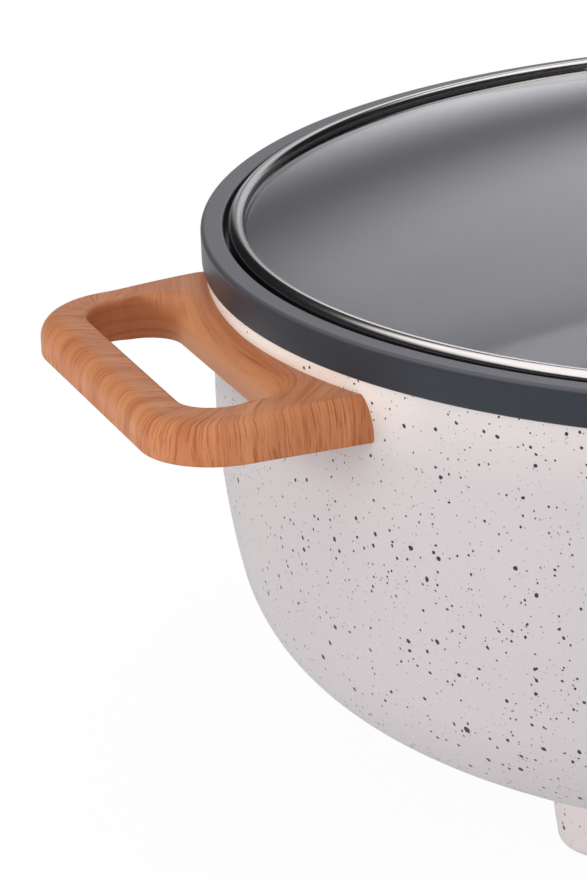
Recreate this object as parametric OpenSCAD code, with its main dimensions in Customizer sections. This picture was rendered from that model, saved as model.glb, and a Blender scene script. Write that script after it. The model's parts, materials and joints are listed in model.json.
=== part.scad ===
// Round electric skillet: a speckled housing with two loop handles, a lift-out coated pot whose wide
// rim rests on the housing, a lift-off glass lid, and the heater and control inside.
// Millimetres, +Z up, origin on the counter under the centre, handles on +X and -X, control on -Y.

/* [Overall] */
// Height of the pot rim's top face above the counter
rim_height = 149; // [145:0.5:156]
// Gap between the counter and the flat underside
floor_gap = 9.5; // [8:0.5:12]

/* [Housing] */
// Radius of the housing where it is widest
shell_r = 163.5; // [158:0.5:172]
// How much smaller the housing's radius is at its top edge
shell_lean = 0.9; // [0.5:0.1:2]
// Thickness of the housing and of the base cover
shell_wall = 2.2; // [1.8:0.1:2.8]
// Radius of the long curve below the widest place
belly_curve_r = 220; // [190:5:260]
// Radius of the lower corner
corner_curve_r = 42; // [36:1:46]
// Slope at which the long curve runs into the corner, in degrees from upright
belly_angle = 12; // [10:0.5:14]
// Slope of the underside, in degrees from level
under_slope = 20; // [18:0.5:22]
// Radius of the flat underside, where its plane meets the slope
flat_r = 82.3; // [78:0.1:86]
// Radius of the soft edge between the slope and the flat underside
blend_r = 40; // [20:1:60]
// Distance from the housing's widest place in to its seam with the base cover
seam_inset = 39.5; // [37.5:0.5:42.5]
// Width of the housing's flange that laps over the base cover
lap_w = 18; // [14:0.5:20]

/* [Handles] */
// How far a handle stands out from the housing's widest place
handle_out = 41.5; // [38:0.5:50]
// Half of a handle's width along the housing
handle_half_w = 59; // [54:0.5:64]
// Drop from the rim's top face to the underside of a handle
handle_drop = 25; // [23.5:0.1:30]
// Thickness of a handle at its outer bar
handle_thick = 10.3; // [9:0.1:12]
// How much higher the top of a handle is at the housing than at its outer bar
handle_rise = 1.7; // [0:0.1:2.5]
// Width of the outer bar
handle_bar = 11.5; // [9:0.1:13]
// Width of each side arm
handle_arm = 13.8; // [12:0.1:16]
// Depth of the finger gap, from the outer bar towards the housing
finger_gap = 23.9; // [23:0.1:27]
// Corner radius of the handle's outside
handle_corner_r = 21; // [14:1:26]
// Corner radius of the finger gap
finger_corner_r = 10.5; // [8:0.5:11.5]
// Rounding of the handle's upper outer edge
handle_round = 5.5; // [2:0.5:6]
// Rounding of the finger gap's upper edge beside the housing
saddle_round = 7; // [4:0.5:8]
// Rounding of the finger gap's upper edge along the arms and the outer bar
grip_round = 1.6; // [1:0.1:2.5]
// Rounding of the handle's lower edges
handle_under_round = 1.1; // [0.8:0.1:2]

/* [Pot] */
// How far the rim stands out past the housing's widest place
rim_overhang = 1.5; // [1:0.1:4]
// Height of the rim's side
rim_h = 9.2; // [8.5:0.1:11]
// Width of the rim's top face
rim_face_w = 4.8; // [3.5:0.1:5]
// Depth of the ledge that the lid sits on, below the rim's top face
ledge_depth = 6; // [5.5:0.1:6.4]
// Height of the pot's underside above the counter
pot_under_z = 57; // [55:0.5:61]
// Thickness of the pot's wall
pot_wall = 2.8; // [2.2:0.1:3.2]
// Thickness of the pot's floor
pot_floor = 3.2; // [2.5:0.1:4]
// Distance from the housing's widest place in to the pot's wall just under the rim
pot_inset = 8; // [7:0.1:9]
// Slope of the pot's wall, in degrees from upright
pot_draft = 5; // [4:0.5:7]
// Outer radius of the curve between the pot's wall and floor
pot_corner_r = 28; // [20:1:34]

/* [Lid] */
// Gap between the lid's steel rim and the pot's rim
lid_gap = 2.2; // [1.2:0.1:3.2]
// Width of the steel rim seen from above
lid_rim_w = 4.5; // [3.5:0.1:4.8]
// Height of the steel rim above the pot rim's top face
lid_proud = 1.2; // [0.8:0.1:2]
// Thickness of the glass
glass_t = 4; // [3.5:0.1:4.4]
// Rise of the glass from its edge to its centre
dome_h = 16; // [10:0.5:20]
// Thickness of the steel rim's lips
lid_lip = 0.9; // [0.7:0.1:1.1]
// Distance of the steam vent from the centre
vent_place_r = 95; // [70:1:120]
// Radius of the lid knob
knob_r = 23; // [20:0.5:26]
// Height of the lid knob
knob_h = 24; // [22:0.5:30]

/* [Feet] */
// Distance of each foot from the centre
foot_place_r = 95.5; // [92:0.5:99]
// Angle of the front feet from the handles' line
foot_angle = 27.7; // [25:0.1:35]
// Radius of a foot near the counter
foot_r = 15; // [13:0.5:17]
// How much wider a foot is for each millimetre of height
foot_taper = 0.12; // [0:0.01:0.15]
// Rounding of a foot's lower edge
foot_round = 3; // [2:0.5:4]
// Radius of the rubber pad under a foot
pad_r = 10.5; // [9:0.5:11]
// How far the pad stands out of its foot
pad_proud = 1; // [0.8:0.1:2]

/* [Heater] */
// Radius of the heating plate
plate_r = 105; // [100:1:110]
// Thickness of the heating plate
plate_t = 10; // [8:0.5:11]
// Radius of the ring that the heating tube follows
element_ring_r = 75; // [70:1:80]
// Radius of the heating tube
element_tube_r = 4; // [3.5:0.1:4.5]
// Height of the heat shield's underside above the counter
shield_z = 31; // [30:0.5:32]
// Thickness of the heat shield
shield_t = 1; // [0.8:0.1:1.4]
// Travel of the sprung temperature sensor
sensor_travel = 3; // [2:0.5:4]

/* [Control and inlet] */
// Drop from the rim's top face to the centre of the control
dial_drop = 60; // [56:0.5:64]
// How far the faces of the control pod and the inlet pod stand out from the housing's widest place
pod_proud = 13.5; // [11.5:0.5:18.5]
// Radius of the control pod
pod_r = 34; // [33:0.5:36]
// Thickness of the control pod's face
pod_face_t = 2.5; // [2:0.1:3]
// Radius of the dial
dial_r = 22; // [20:0.5:23]
// Height of the dial
dial_h = 17; // [14:0.5:20]
// Drop from the rim's top face to the centre of the inlet
inlet_drop = 66; // [60:0.5:70]
// Radius of the inlet pod
inlet_r = 22; // [21:0.5:24]
// Distance between the inlet's two pins
pin_pitch = 14; // [12:0.5:15]

/* [Hidden] */
$fn = 96;
// Clearances: face gap, screw in its hole, turning or sliding shaft, and a seated rim
gap = 0.1;
hole_gap = 0.15;
run_gap = 0.06;
seat_gap = 0.3;
// Length by which a cutting shape passes the face that it cuts
past = 1;

// Radii that follow the housing's widest place
shell_top_r = shell_r - shell_lean;
seam_r = shell_r - seam_inset;
handle_reach = shell_r + handle_out;
rim_r = shell_r + rim_overhang;
pot_top_r = shell_r - pot_inset;
lid_r = rim_r - rim_face_w - lid_gap;
pod_reach = shell_r + pod_proud;

// Heights that several pieces share
shell_top_z = rim_height - rim_h;
pot_depth = rim_height - pot_under_z;
plate_top_z = pot_under_z - seat_gap;
plate_under_z = plate_top_z - plate_t;
shield_top_z = shield_z + shield_t;
dial_z = rim_height - dial_drop;
inlet_z = rim_height - inlet_drop;
ledge_z = rim_height - ledge_depth;

// Steps of the curves in an outline
arc_steps = 12;

function arc(c, r, a0, a1, n = arc_steps) =
    [for (i = [0:n]) let (a = a0 + (a1 - a0) * i / n) [c[0] + r * cos(a), c[1] + r * sin(a)]];
function reversed(list) = [for (i = [len(list) - 1:-1:0]) list[i]];
function polar(r, a) = [r * cos(a), r * sin(a)];

// The housing's outline: a straight upper wall, a long curve, a corner, a sloped underside and a flat
corner_x = shell_r - belly_curve_r + (belly_curve_r - corner_curve_r) * cos(belly_angle);
slope_top_r = corner_x + corner_curve_r * sin(under_slope);
corner_z = slope_z(slope_top_r) + corner_curve_r * cos(under_slope);
belly_z = corner_z + (belly_curve_r - corner_curve_r) * sin(belly_angle);
blend_x = flat_r - blend_r * tan(under_slope / 2);

// Height of the sloped underside at radius r, moved inwards by t
function slope_z(r, t = 0) = floor_gap + (r - flat_r) * tan(under_slope) + t / cos(under_slope);
// Radius of the straight upper wall at height z, moved inwards by t
function wall_r(z, t = 0) =
    shell_top_r - t + (shell_r - shell_top_r) * (shell_top_z - z) / (shell_top_z - belly_z);
// The whole outline from the top edge to the centre, moved inwards by t
function skin(t) = concat(
    [[shell_top_r - t, shell_top_z]],
    arc([shell_r - belly_curve_r, belly_z], belly_curve_r - t, 0, -belly_angle),
    arc([corner_x, corner_z], corner_curve_r - t, -belly_angle, under_slope - 90),
    arc([blend_x, floor_gap + blend_r], blend_r - t, under_slope - 90, -90),
    [[0, floor_gap + t]]);

// The bowl of the housing and base cover before they are parted
module bowl() {
    rotate_extrude() polygon(concat(skin(0), reversed(skin(shell_wall))));
}

// Everything inside the housing's outline moved inwards by t, to shape what stands against it
module shell_core(t) {
    rotate_extrude() polygon(concat(skin(t), [[0, shell_top_z]]));
}

// A cylinder that lies along the radius at angle a and height z, from radius r0 to r1
module radial_rod(a, z, r0, r1, rod_r) {
    rotate([0, 0, a]) translate([r0, 0, z]) rotate([0, 90, 0]) cylinder(r = rod_r, h = r1 - r0);
}

// A panhead screw with its head's seat at the origin and its shank along +Z
module screw(shank_r, shank_l, head_r, head_t) {
    cylinder(r = shank_r, h = shank_l);
    translate([0, 0, -head_t]) cylinder(r = head_r, h = head_t);
}

// The control's own frame: +Z towards the front, from the housing's centre line
module at_control() {
    translate([0, 0, dial_z]) rotate([90, 0, 0]) children();
}

// The inlet's own frame: +Z towards the back
module at_inlet() {
    translate([0, 0, inlet_z]) rotate([90, 0, 180]) children();
}

// Places on the base cover: the feet, the lap's screws, the shield's posts and the plate's studs
FEET = [180 + foot_angle, 360 - foot_angle, 90];
THIRDS = [30, 150, 270];
BETWEEN = [90, 210, 330];

// Screw sizes
small_r = 1.5;
small_hole_r = small_r + hole_gap;
small_head_r = 3.2;
small_head_t = 2.2;
lap_t = shell_wall + seat_gap;
lap_screw_r = seam_r - lap_w / 2;
lap_screw_out = 3;
lap_screw_l = lap_t + shell_wall + lap_screw_out;
post_place_r = 60;
post_r = 5;
post_bore = 14;
stud_place_r = 90;
stud_r = 2;
nut_r = 4.2;
nut_t = 3.2;
foot_boss_r = 4.5;
foot_boss_h = 6;
foot_boss_top = slope_z(foot_place_r, shell_wall) + foot_boss_h;
foot_screw_z = 6;
pad_t = 3;

// Control and inlet screws: their distance from the pod's centre, and how deep they reach
pod_screw_r = 28;
inlet_screw_r = 19.2;
pod_screw_in = 7;
shell_port_r = 24;
inlet_port_r = 16;
pod_seat_gap = 0.2;

// Handle screws
handle_screw_r = 2;
handle_screw_head_r = 4;
handle_screw_l = 15;
handle_screw_z = rim_height - handle_drop + handle_thick / 2;
handle_screw_inset = 2;
handle_screw_angle = asin((handle_half_w - handle_arm / 2 - handle_screw_inset) / shell_r);
// How far a drilled hole starts inside the housing's wall and ends outside it
drill_past = 10;
drill_end_gap = 0.5;
HANDLE_SCREWS = [180 - handle_screw_angle, 180 + handle_screw_angle,
    -handle_screw_angle, handle_screw_angle];

// The frame of a lap screw: its seat on the sloped underside, shank along +Z into the flange
module at_lap_screws() {
    for (a = THIRDS)
        rotate([0, 0, a]) translate([lap_screw_r, 0, slope_z(lap_screw_r)]) rotate([0, -under_slope, 0])
            children();
}

module outer_shell() {
    lap_under = shell_wall + seat_gap;
    lap_over = lap_under + shell_wall;
    // The flange runs this far past the seam, into the wall
    root = 4;
    color("linen") difference() {
        union() {
            difference() {
                bowl();
                cylinder(r = seam_r, h = shell_top_z / 2);
            }
            rotate_extrude() polygon([
                [seam_r + root, slope_z(seam_r + root, shell_wall / 2)],
                [seam_r + root, slope_z(seam_r + root, lap_over)],
                [seam_r - lap_w, slope_z(seam_r - lap_w, lap_over)],
                [seam_r - lap_w, slope_z(seam_r - lap_w, lap_under)],
                [seam_r, slope_z(seam_r, lap_under)],
                [seam_r, slope_z(seam_r, shell_wall / 2)]]);
        }
        for (a = HANDLE_SCREWS)
            radial_rod(a, handle_screw_z, shell_r - drill_past, shell_r + drill_past,
                handle_screw_r + hole_gap);
        at_lap_screws() cylinder(r = small_hole_r, h = lap_screw_l + past);
        for (a = FEET)
            translate(concat(polar(foot_place_r, a), 0))
                cylinder(r = foot_boss_r + seat_gap, h = foot_boss_top + past);
        at_control() {
            translate([0, 0, shell_r / 2]) cylinder(r = shell_port_r, h = shell_r);
            for (s = [-1, 1])
                translate([0, s * pod_screw_r, shell_r / 2]) cylinder(r = small_hole_r, h = shell_r);
        }
        at_inlet() {
            translate([0, 0, shell_r / 2]) cylinder(r = inlet_port_r, h = shell_r);
            for (s = [-1, 1])
                translate([0, s * inlet_screw_r, shell_r / 2]) cylinder(r = small_hole_r, h = shell_r);
        }
    }
}

module base_cover() {
    vent_slots = 12;
    vent_w = 3;
    vent_from = 20;
    vent_l = 20;
    color("linen") difference() {
        union() {
            intersection() {
                bowl();
                cylinder(r = seam_r - seat_gap, h = shell_top_z / 2);
            }
            intersection() {
                shell_core(shell_wall / 2);
                union() {
                    for (a = BETWEEN)
                        translate(concat(polar(post_place_r, a), 0)) cylinder(r = post_r, h = shield_z);
                    for (a = FEET)
                        translate(concat(polar(foot_place_r, a), 0))
                            cylinder(r = foot_boss_r, h = foot_boss_top);
                }
            }
        }
        for (a = BETWEEN)
            translate(concat(polar(post_place_r, a), shield_z - post_bore))
                cylinder(r = small_hole_r, h = post_bore + past);
        for (a = FEET)
            translate(concat(polar(foot_place_r, a), 0))
                cylinder(r = small_hole_r, h = foot_boss_top - past);
        at_lap_screws() translate([0, 0, -past]) cylinder(r = small_hole_r, h = lap_t + 2 * past);
        for (i = [0:vent_slots - 1])
            rotate([0, 0, 360 * (i + 0.5) / vent_slots]) translate([vent_from, -vent_w / 2, 0])
                cube([vent_l, vent_w, floor_gap + shell_wall + past]);
    }
}

module cover_screws() {
    color("silver") at_lap_screws() translate([0, 0, -gap])
        screw(small_r, lap_screw_l, small_head_r, small_head_t);
}

// A foot: a tapered round stub that meets the sloped underside, with a pocket for its pad and screw
module foot(a) {
    // The stub starts this far above the slope and is cut back to it
    spare = 5;
    top_z = slope_z(foot_place_r + foot_r + spare) + spare;
    top_r = foot_r + foot_taper * top_z;
    edge = [foot_r - foot_round + foot_taper * (pad_proud + foot_round), pad_proud + foot_round];
    head_room = small_head_r + seat_gap;
    color("linen") difference() {
        translate(concat(polar(foot_place_r, a), 0)) difference() {
            rotate_extrude() polygon(concat([[0, pad_proud]], arc(edge, foot_round, -90, 0),
                [[top_r, top_z], [0, top_z]]));
            cylinder(r = pad_r + hole_gap, h = pad_t);
            cylinder(r = head_room, h = foot_screw_z);
            cylinder(r = small_hole_r, h = top_z + past);
        }
        shell_core(-gap);
    }
}

module foot_front_left() foot(FEET[0]);
module foot_front_right() foot(FEET[1]);
module foot_back() foot(FEET[2]);

module foot_pad(a) {
    edge = 0.6;
    color("dimgray") translate(concat(polar(foot_place_r, a), 0))
        rotate_extrude() polygon(concat([[0, 0]], arc([pad_r - edge, edge], edge, -90, 0, 4),
            [[pad_r, pad_t], [0, pad_t]]));
}

module pad_front_left() foot_pad(FEET[0]);
module pad_front_right() foot_pad(FEET[1]);
module pad_back() foot_pad(FEET[2]);

module foot_screws() {
    reach = foot_boss_top - 2 * past - foot_screw_z;
    color("silver") for (a = FEET)
        translate(concat(polar(foot_place_r, a), foot_screw_z))
            screw(small_r, reach, small_head_r, small_head_t);
}

// A rounded rectangle from u0 to u1 and from -w to w, with corner radius r0 at u0 and r1 at u1
function round_outline(u0, u1, w, r0, r1, n) = concat(
    arc([u1 - r1, -w + r1], r1, -90, 0, n),
    arc([u1 - r1, w - r1], r1, 0, 90, n),
    arc([u0 + r0, w - r0], r0, 90, 180, n),
    arc([u0 + r0, -w + r0], r0, 180, 270, n));

// The most of a section's width that its two upper roundings may take
inner_share = 0.36;
outer_share = 0.45;

// The section of a handle between the finger gap and the outside, as distance and height, with the
// rounding beside the gap given
function handle_section(w, top, gap_round) =
    let (low = rim_height - handle_drop,
        inner = min(gap_round, inner_share * w),
        outer = min(handle_round, outer_share * w),
        f = handle_under_round,
        n = 4)
    concat(arc([f, low + f], f, 270, 180, n), arc([inner, top - inner], inner, 180, 90, n),
        arc([w - outer, top - outer], outer, 90, 0, n), arc([w - f, low + f], f, 0, -90, n));

// The loop of a handle on +X, running a little way into the housing
module handle_loop() {
    n = 6;
    gap_from = handle_reach - handle_bar - finger_gap;
    root_depth = 30;
    root_corner_r = 5;
    root = gap_from - root_depth;
    outside = round_outline(root, handle_reach, handle_half_w, root_corner_r, handle_corner_r, n);
    inside = round_outline(gap_from, handle_reach - handle_bar, handle_half_w - handle_arm,
        finger_corner_r, finger_corner_r, n);
    top_z = rim_height - handle_drop + handle_thick;
    rings = [for (i = [0:len(outside) - 1])
        let (a = inside[i], b = outside[i], w = norm(b - a), d = (b - a) / w,
            away = min((a[0] - gap_from) / finger_corner_r, 1),
            gap_round = saddle_round + (grip_round - saddle_round) * away)
        [for (s = handle_section(w, top_z, gap_round))
            let (p = a + d * s[0],
                lift = handle_rise * (handle_reach - p[0]) / (handle_reach - shell_r),
                k = (s[1] - rim_height + handle_drop) / handle_thick)
            [p[0], p[1], s[1] + k * lift]]];
    m = len(rings[0]);
    count = len(rings);
    faces = [for (i = [0:count - 1], k = [0:m - 1])
        let (j = (i + 1) % count, l = (k + 1) % m)
        each [[i * m + k, j * m + k, i * m + l], [j * m + k, j * m + l, i * m + l]]];
    polyhedron(points = [for (ring = rings) each ring], faces = faces);
}

module handle() {
    below = 15;
    low_z = rim_height - handle_drop - below;
    difference() {
        handle_loop();
        translate([0, 0, low_z])
            cylinder(r1 = wall_r(low_z, -gap), r2 = wall_r(shell_top_z, -gap), h = shell_top_z - low_z);
        for (s = [-1, 1])
            radial_rod(s * handle_screw_angle, handle_screw_z, shell_r - drill_past,
                shell_r - shell_wall + handle_screw_l + drill_end_gap, handle_screw_r + hole_gap);
    }
}

module left_handle() {
    color("peru") mirror([1, 0, 0]) handle();
}

module right_handle() {
    color("peru") handle();
}

module handle_screws() {
    seat = wall_r(handle_screw_z, shell_wall + seat_gap);
    color("silver") for (a = HANDLE_SCREWS)
        rotate([0, 0, a]) translate([seat, 0, handle_screw_z]) rotate([0, 90, 0])
            screw(handle_screw_r, handle_screw_l, handle_screw_head_r, small_head_t);
}

module control_pod() {
    edge = 3;
    wall = 3;
    cup_r = pod_r - wall;
    boss_r = 4.2;
    inside = pod_reach - pod_face_t;
    color("dimgray") difference() {
        at_control() difference() {
            rotate_extrude() polygon(concat([[0, shell_r / 2], [pod_r, shell_r / 2]],
                arc([pod_r - edge, pod_reach - edge], edge, 0, 90, 6), [[0, pod_reach]]));
            difference() {
                cylinder(r = cup_r, h = inside);
                for (s = [-1, 1])
                    translate([0, s * pod_screw_r, 0]) cylinder(r = boss_r, h = inside);
            }
            for (s = [-1, 1])
                translate([0, s * pod_screw_r, 0])
                    cylinder(r = small_hole_r, h = shell_r + pod_screw_in);
            cylinder(r = bushing_r + hole_gap, h = pod_reach + past);
            translate(lens_place) cylinder(r = lens_r + hole_gap, h = pod_reach + past);
        }
        shell_core(-gap);
    }
}

// Control sizes: the bushing that fixes the thermostat, the shaft, and the indicator
bushing_r = 5;
bushing_out = 5;
shaft_r = 3;
shaft_in = 8.5;
thermostat_r = 17;
thermostat_l = 19;
lens_r = 2.6;
lens_place = concat(polar(27, -45), 0);
lens_flange_t = 2;
lens_flange_w = 0.8;
lens_proud = 1;
control_nut_r = 8;
control_nut_t = 2.5;
dial_gap = 1.2;
dial_back = pod_reach + dial_gap;
dial_face = dial_back + dial_h;
dial_hollow = 7;
dial_grip = 5;
dial_fit = 0.02;
dial_wall = 5;
dial_skirt = 4;

module thermostat() {
    inside = pod_reach - pod_face_t;
    color("tan") at_control() difference() {
        union() {
            translate([0, 0, inside - thermostat_l]) cylinder(r = thermostat_r, h = thermostat_l);
            translate([0, 0, inside - past]) cylinder(r = bushing_r, h = past + pod_face_t + bushing_out);
        }
        translate([0, 0, inside - shaft_in]) cylinder(r = shaft_r + run_gap, h = pod_reach);
    }
}

module control_nut() {
    color("silver") at_control() translate([0, 0, pod_reach]) difference() {
        cylinder(r = control_nut_r, h = control_nut_t, $fn = 6);
        translate([0, 0, -past]) cylinder(r = bushing_r + gap, h = control_nut_t + 2 * past);
    }
}

module dial_shaft() {
    back = pod_reach - pod_face_t - shaft_in + seat_gap;
    color("silver") at_control() translate([0, 0, back])
        cylinder(r = shaft_r, h = dial_back + dial_hollow + dial_grip - back);
}

module dial_knob() {
    edge = 2;
    hollow_r = dial_r - dial_wall;
    taper = 1.5;
    flutes = 24;
    flute_r = 1.6;
    flute_lead = 0.5;
    color("dimgray") at_control() difference() {
        rotate_extrude() polygon(concat(
            [[0, dial_back], [dial_r, dial_back], [dial_r, dial_back + dial_skirt]],
            arc([dial_r - taper - edge, dial_face - edge], edge, 0, 90, 6), [[0, dial_face]]));
        translate([0, 0, dial_back - past]) cylinder(r = hollow_r, h = dial_hollow + past);
        cylinder(r = shaft_r + dial_fit, h = dial_back + dial_hollow + dial_grip + hole_gap);
        for (i = [0:flutes - 1])
            rotate([0, 0, 360 * (i + 0.5) / flutes])
                translate([dial_r + flute_r / 2, 0, dial_back + dial_skirt + flute_lead])
                    cylinder(r = flute_r, h = dial_h);
        translate([-pointer_w / 2, pointer_from, dial_face - pointer_t])
            cube([pointer_w, pointer_l, pointer_t + past]);
    }
}

// The pale bar let into the dial's face
pointer_w = 2;
pointer_t = 1;
pointer_from = 7;
pointer_l = dial_r - pointer_from - dial_wall;

module dial_pointer() {
    color("white") at_control()
        translate([-pointer_w / 2 + gap, pointer_from + gap, dial_face - pointer_t])
            cube([pointer_w - 2 * gap, pointer_l - 2 * gap, pointer_t]);
}

module indicator_lens() {
    inside = pod_reach - pod_face_t;
    color("orangered") at_control() translate(lens_place) {
        translate([0, 0, inside - lens_flange_t]) cylinder(r = lens_r + lens_flange_w, h = lens_flange_t);
        translate([0, 0, inside - past]) cylinder(r = lens_r, h = past + pod_face_t + lens_proud);
    }
}

module indicator_lamp() {
    lamp_l = 8;
    lamp_inset = 0.4;
    front = pod_reach - pod_face_t - lens_flange_t;
    color("orange") at_control() translate(lens_place) translate([0, 0, front - lamp_l])
        cylinder(r = lens_r - lamp_inset, h = lamp_l);
}

// Screws that hold a pod from inside the housing, at distance d above and below its centre
module pod_screws(drop, d) {
    for (s = [-1, 1]) {
        z = rim_height - drop + s * d;
        seat = min(inner_wall(z - small_head_r), inner_wall(z + small_head_r)) - pod_seat_gap;
        reach = shell_r + pod_screw_in - seat - past;
        translate([0, s * d, seat]) screw(small_r, reach, small_head_r, small_head_t);
    }
}

// Radius of the housing's inner face at height z, on the straight wall, the long curve or the corner
corner_top_z = corner_z - corner_curve_r * sin(belly_angle);
function inner_wall(z) = z > belly_z ? wall_r(z, shell_wall)
    : z > corner_top_z
    ? shell_r - belly_curve_r + sqrt(pow(belly_curve_r - shell_wall, 2) - pow(belly_z - z, 2))
    : corner_x + sqrt(pow(corner_curve_r - shell_wall, 2) - pow(corner_z - z, 2));

module control_screws() {
    color("silver") at_control() pod_screws(dial_drop, pod_screw_r);
}

module inlet_screws() {
    color("silver") at_inlet() pod_screws(inlet_drop, inlet_screw_r);
}

// Inlet sizes: the socket's half length and half height, its depth, and the pins
socket_end_r = 7.5;
socket_half = 15;
socket_depth = 14;
socket_back_t = 6;
pin_r = 2;
pin_out = 10;
pin_tail = 4.5;
socket_floor = pod_reach - socket_depth;

module inlet_housing() {
    edge = 2;
    color("dimgray") difference() {
        union() {
            difference() {
                at_inlet() rotate_extrude() polygon(concat([[0, shell_r / 2], [inlet_r, shell_r / 2]],
                    arc([inlet_r - edge, pod_reach - edge], edge, 0, 90, 6), [[0, pod_reach]]));
                shell_core(-gap);
            }
            at_inlet() translate([0, 0, socket_floor - socket_back_t])
                cylinder(r = inlet_port_r - 2 * hole_gap, h = socket_back_t);
        }
        at_inlet() {
            translate([0, 0, socket_floor]) linear_extrude(height = socket_depth + past) {
                for (s = [-1, 1])
                    translate([s * (socket_half - socket_end_r), 0]) circle(r = socket_end_r);
                square([2 * (socket_half - socket_end_r), 2 * socket_end_r], center = true);
            }
            for (s = [-1, 1]) {
                translate([s * pin_pitch / 2, 0, shell_r / 2])
                    cylinder(r = pin_r + gap / 2, h = shell_r / 2);
                translate([0, s * inlet_screw_r, shell_r / 2])
                    cylinder(r = small_hole_r, h = shell_r / 2 + pod_screw_in);
            }
        }
    }
}

module inlet_pins() {
    back = socket_floor - socket_back_t - pin_tail;
    color("gold") at_inlet() for (s = [-1, 1])
        translate([s * pin_pitch / 2, 0, back]) cylinder(r = pin_r, h = socket_floor + pin_out - back);
}

// Heater sizes: where the heating tube stops short of a full ring, its cold ends and the sensor's hole
element_gap = 24;
cold_end_r = 2.6;
cold_end_angle = element_gap / 2 + asin(2 * cold_end_r / element_ring_r);
cold_end_drop = 5;
cold_end_z = shield_z - cold_end_drop;
sensor_hole_r = 13;
sensor_r = 11;
sensor_head_t = 2;
stem_r = 5;
guide_r = 7.5;
guide_h = 12;
fuse_place = [-40, 24];
fuse_r = 2.2;
fuse_l = 16;

module heating_plate() {
    stud_out = 1.5;
    stud_z = shield_z - nut_t - stud_out;
    color("gainsboro") {
        difference() {
            translate([0, 0, plate_under_z]) cylinder(r = plate_r, h = plate_t);
            translate([0, 0, plate_under_z - past]) cylinder(r = sensor_hole_r, h = plate_t + 2 * past);
            translate([0, 0, plate_under_z]) rotate_extrude()
                translate([element_ring_r, 0]) circle(r = element_tube_r + hole_gap, $fn = 32);
        }
        for (a = THIRDS)
            translate(concat(polar(stud_place_r, a), stud_z))
                cylinder(r = stud_r, h = plate_under_z + past - stud_z);
    }
}

module heating_element() {
    color("slategray") translate([0, 0, plate_under_z]) {
        rotate([0, 0, element_gap / 2]) rotate_extrude(angle = 360 - element_gap)
            translate([element_ring_r, 0]) circle(r = element_tube_r, $fn = 32);
        for (s = [-1, 1])
            rotate([0, 0, s * cold_end_angle]) translate([element_ring_r, 0, cold_end_z - plate_under_z])
                cylinder(r = cold_end_r, h = plate_under_z - cold_end_z);
    }
}

// The heat shield's flat reaches past the plate, and its lip past the flat
shield_flat_r = plate_r + 5;
lip_r = shield_flat_r + 8;

module heat_shield() {
    lip_h = 10;
    cold_room = 2;
    stem_room = 1;
    color("silver") difference() {
        rotate_extrude() polygon([[0, shield_z], [shield_flat_r, shield_z], [lip_r, shield_z + lip_h],
            [lip_r - shield_t, shield_top_z + lip_h], [shield_flat_r - shield_t, shield_top_z],
            [0, shield_top_z]]);
        for (a = BETWEEN)
            translate(concat(polar(post_place_r, a), shield_z - past))
                cylinder(r = small_hole_r, h = shield_t + 2 * past);
        for (a = THIRDS)
            translate(concat(polar(stud_place_r, a), shield_z - past))
                cylinder(r = stud_r + hole_gap, h = shield_t + 2 * past);
        for (s = [-1, 1])
            translate(concat(polar(element_ring_r, s * cold_end_angle), shield_z - past))
                cylinder(r = cold_end_r + cold_room, h = shield_t + 2 * past);
        translate([0, 0, shield_z - past]) cylinder(r = stem_r + stem_room, h = shield_t + 2 * past);
    }
}

module shield_screws() {
    color("silver") for (a = BETWEEN)
        translate(concat(polar(post_place_r, a), shield_top_z)) mirror([0, 0, 1])
            screw(small_r, post_bore - 2 * past, small_head_r, small_head_t);
}

module plate_spacers() {
    color("ivory") for (a = THIRDS)
        translate(concat(polar(stud_place_r, a), shield_top_z)) difference() {
            cylinder(r = post_r, h = plate_under_z - shield_top_z);
            translate([0, 0, -past]) cylinder(r = stud_r + hole_gap, h = plate_under_z);
        }
}

module plate_nuts() {
    color("silver") for (a = THIRDS)
        translate(concat(polar(stud_place_r, a), shield_z - nut_t)) difference() {
            cylinder(r = nut_r, h = nut_t, $fn = 6);
            translate([0, 0, -past]) cylinder(r = stud_r + gap, h = nut_t + 2 * past);
        }
}

module sensor_cap() {
    stem_z = shield_z + sensor_travel + past;
    color("gainsboro") {
        translate([0, 0, plate_top_z - sensor_head_t]) cylinder(r = sensor_r, h = sensor_head_t);
        translate([0, 0, stem_z]) cylinder(r = stem_r, h = plate_top_z - past - stem_z);
    }
}

module sensor_guide() {
    color("ivory") translate([0, 0, shield_top_z]) difference() {
        cylinder(r = guide_r, h = guide_h);
        translate([0, 0, -past]) cylinder(r = stem_r + run_gap, h = guide_h + 2 * past);
    }
}

// A tube swept along points, with closed ends square to the directions start and end
module tube(points, tube_r, sides, start, end) {
    last = len(points) - 1;
    rings = [for (i = [0:last])
        let (d = i == 0 ? start : i == last ? end : points[i + 1] - points[i - 1],
            t = d / norm(d),
            side = abs(t[2]) > 0.9 ? [1, 0, 0] : [0, 0, 1],
            x = cross(side, t) / norm(cross(side, t)),
            y = cross(t, x))
        [for (k = [0:sides - 1])
            let (turn = polar(tube_r, 360 * k / sides))
            points[i] + turn[0] * x + turn[1] * y]];
    faces = concat(
        [for (i = [0:last - 1], k = [0:sides - 1])
            let (l = (k + 1) % sides)
            each [[i * sides + k, (i + 1) * sides + k, i * sides + l],
                [(i + 1) * sides + k, (i + 1) * sides + l, i * sides + l]]],
        [for (k = [1:sides - 2]) [0, k, k + 1]],
        [for (k = [1:sides - 2]) [last * sides, last * sides + k + 1, last * sides + k]]);
    polyhedron(points = [for (ring = rings) each ring], faces = faces);
}

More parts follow.
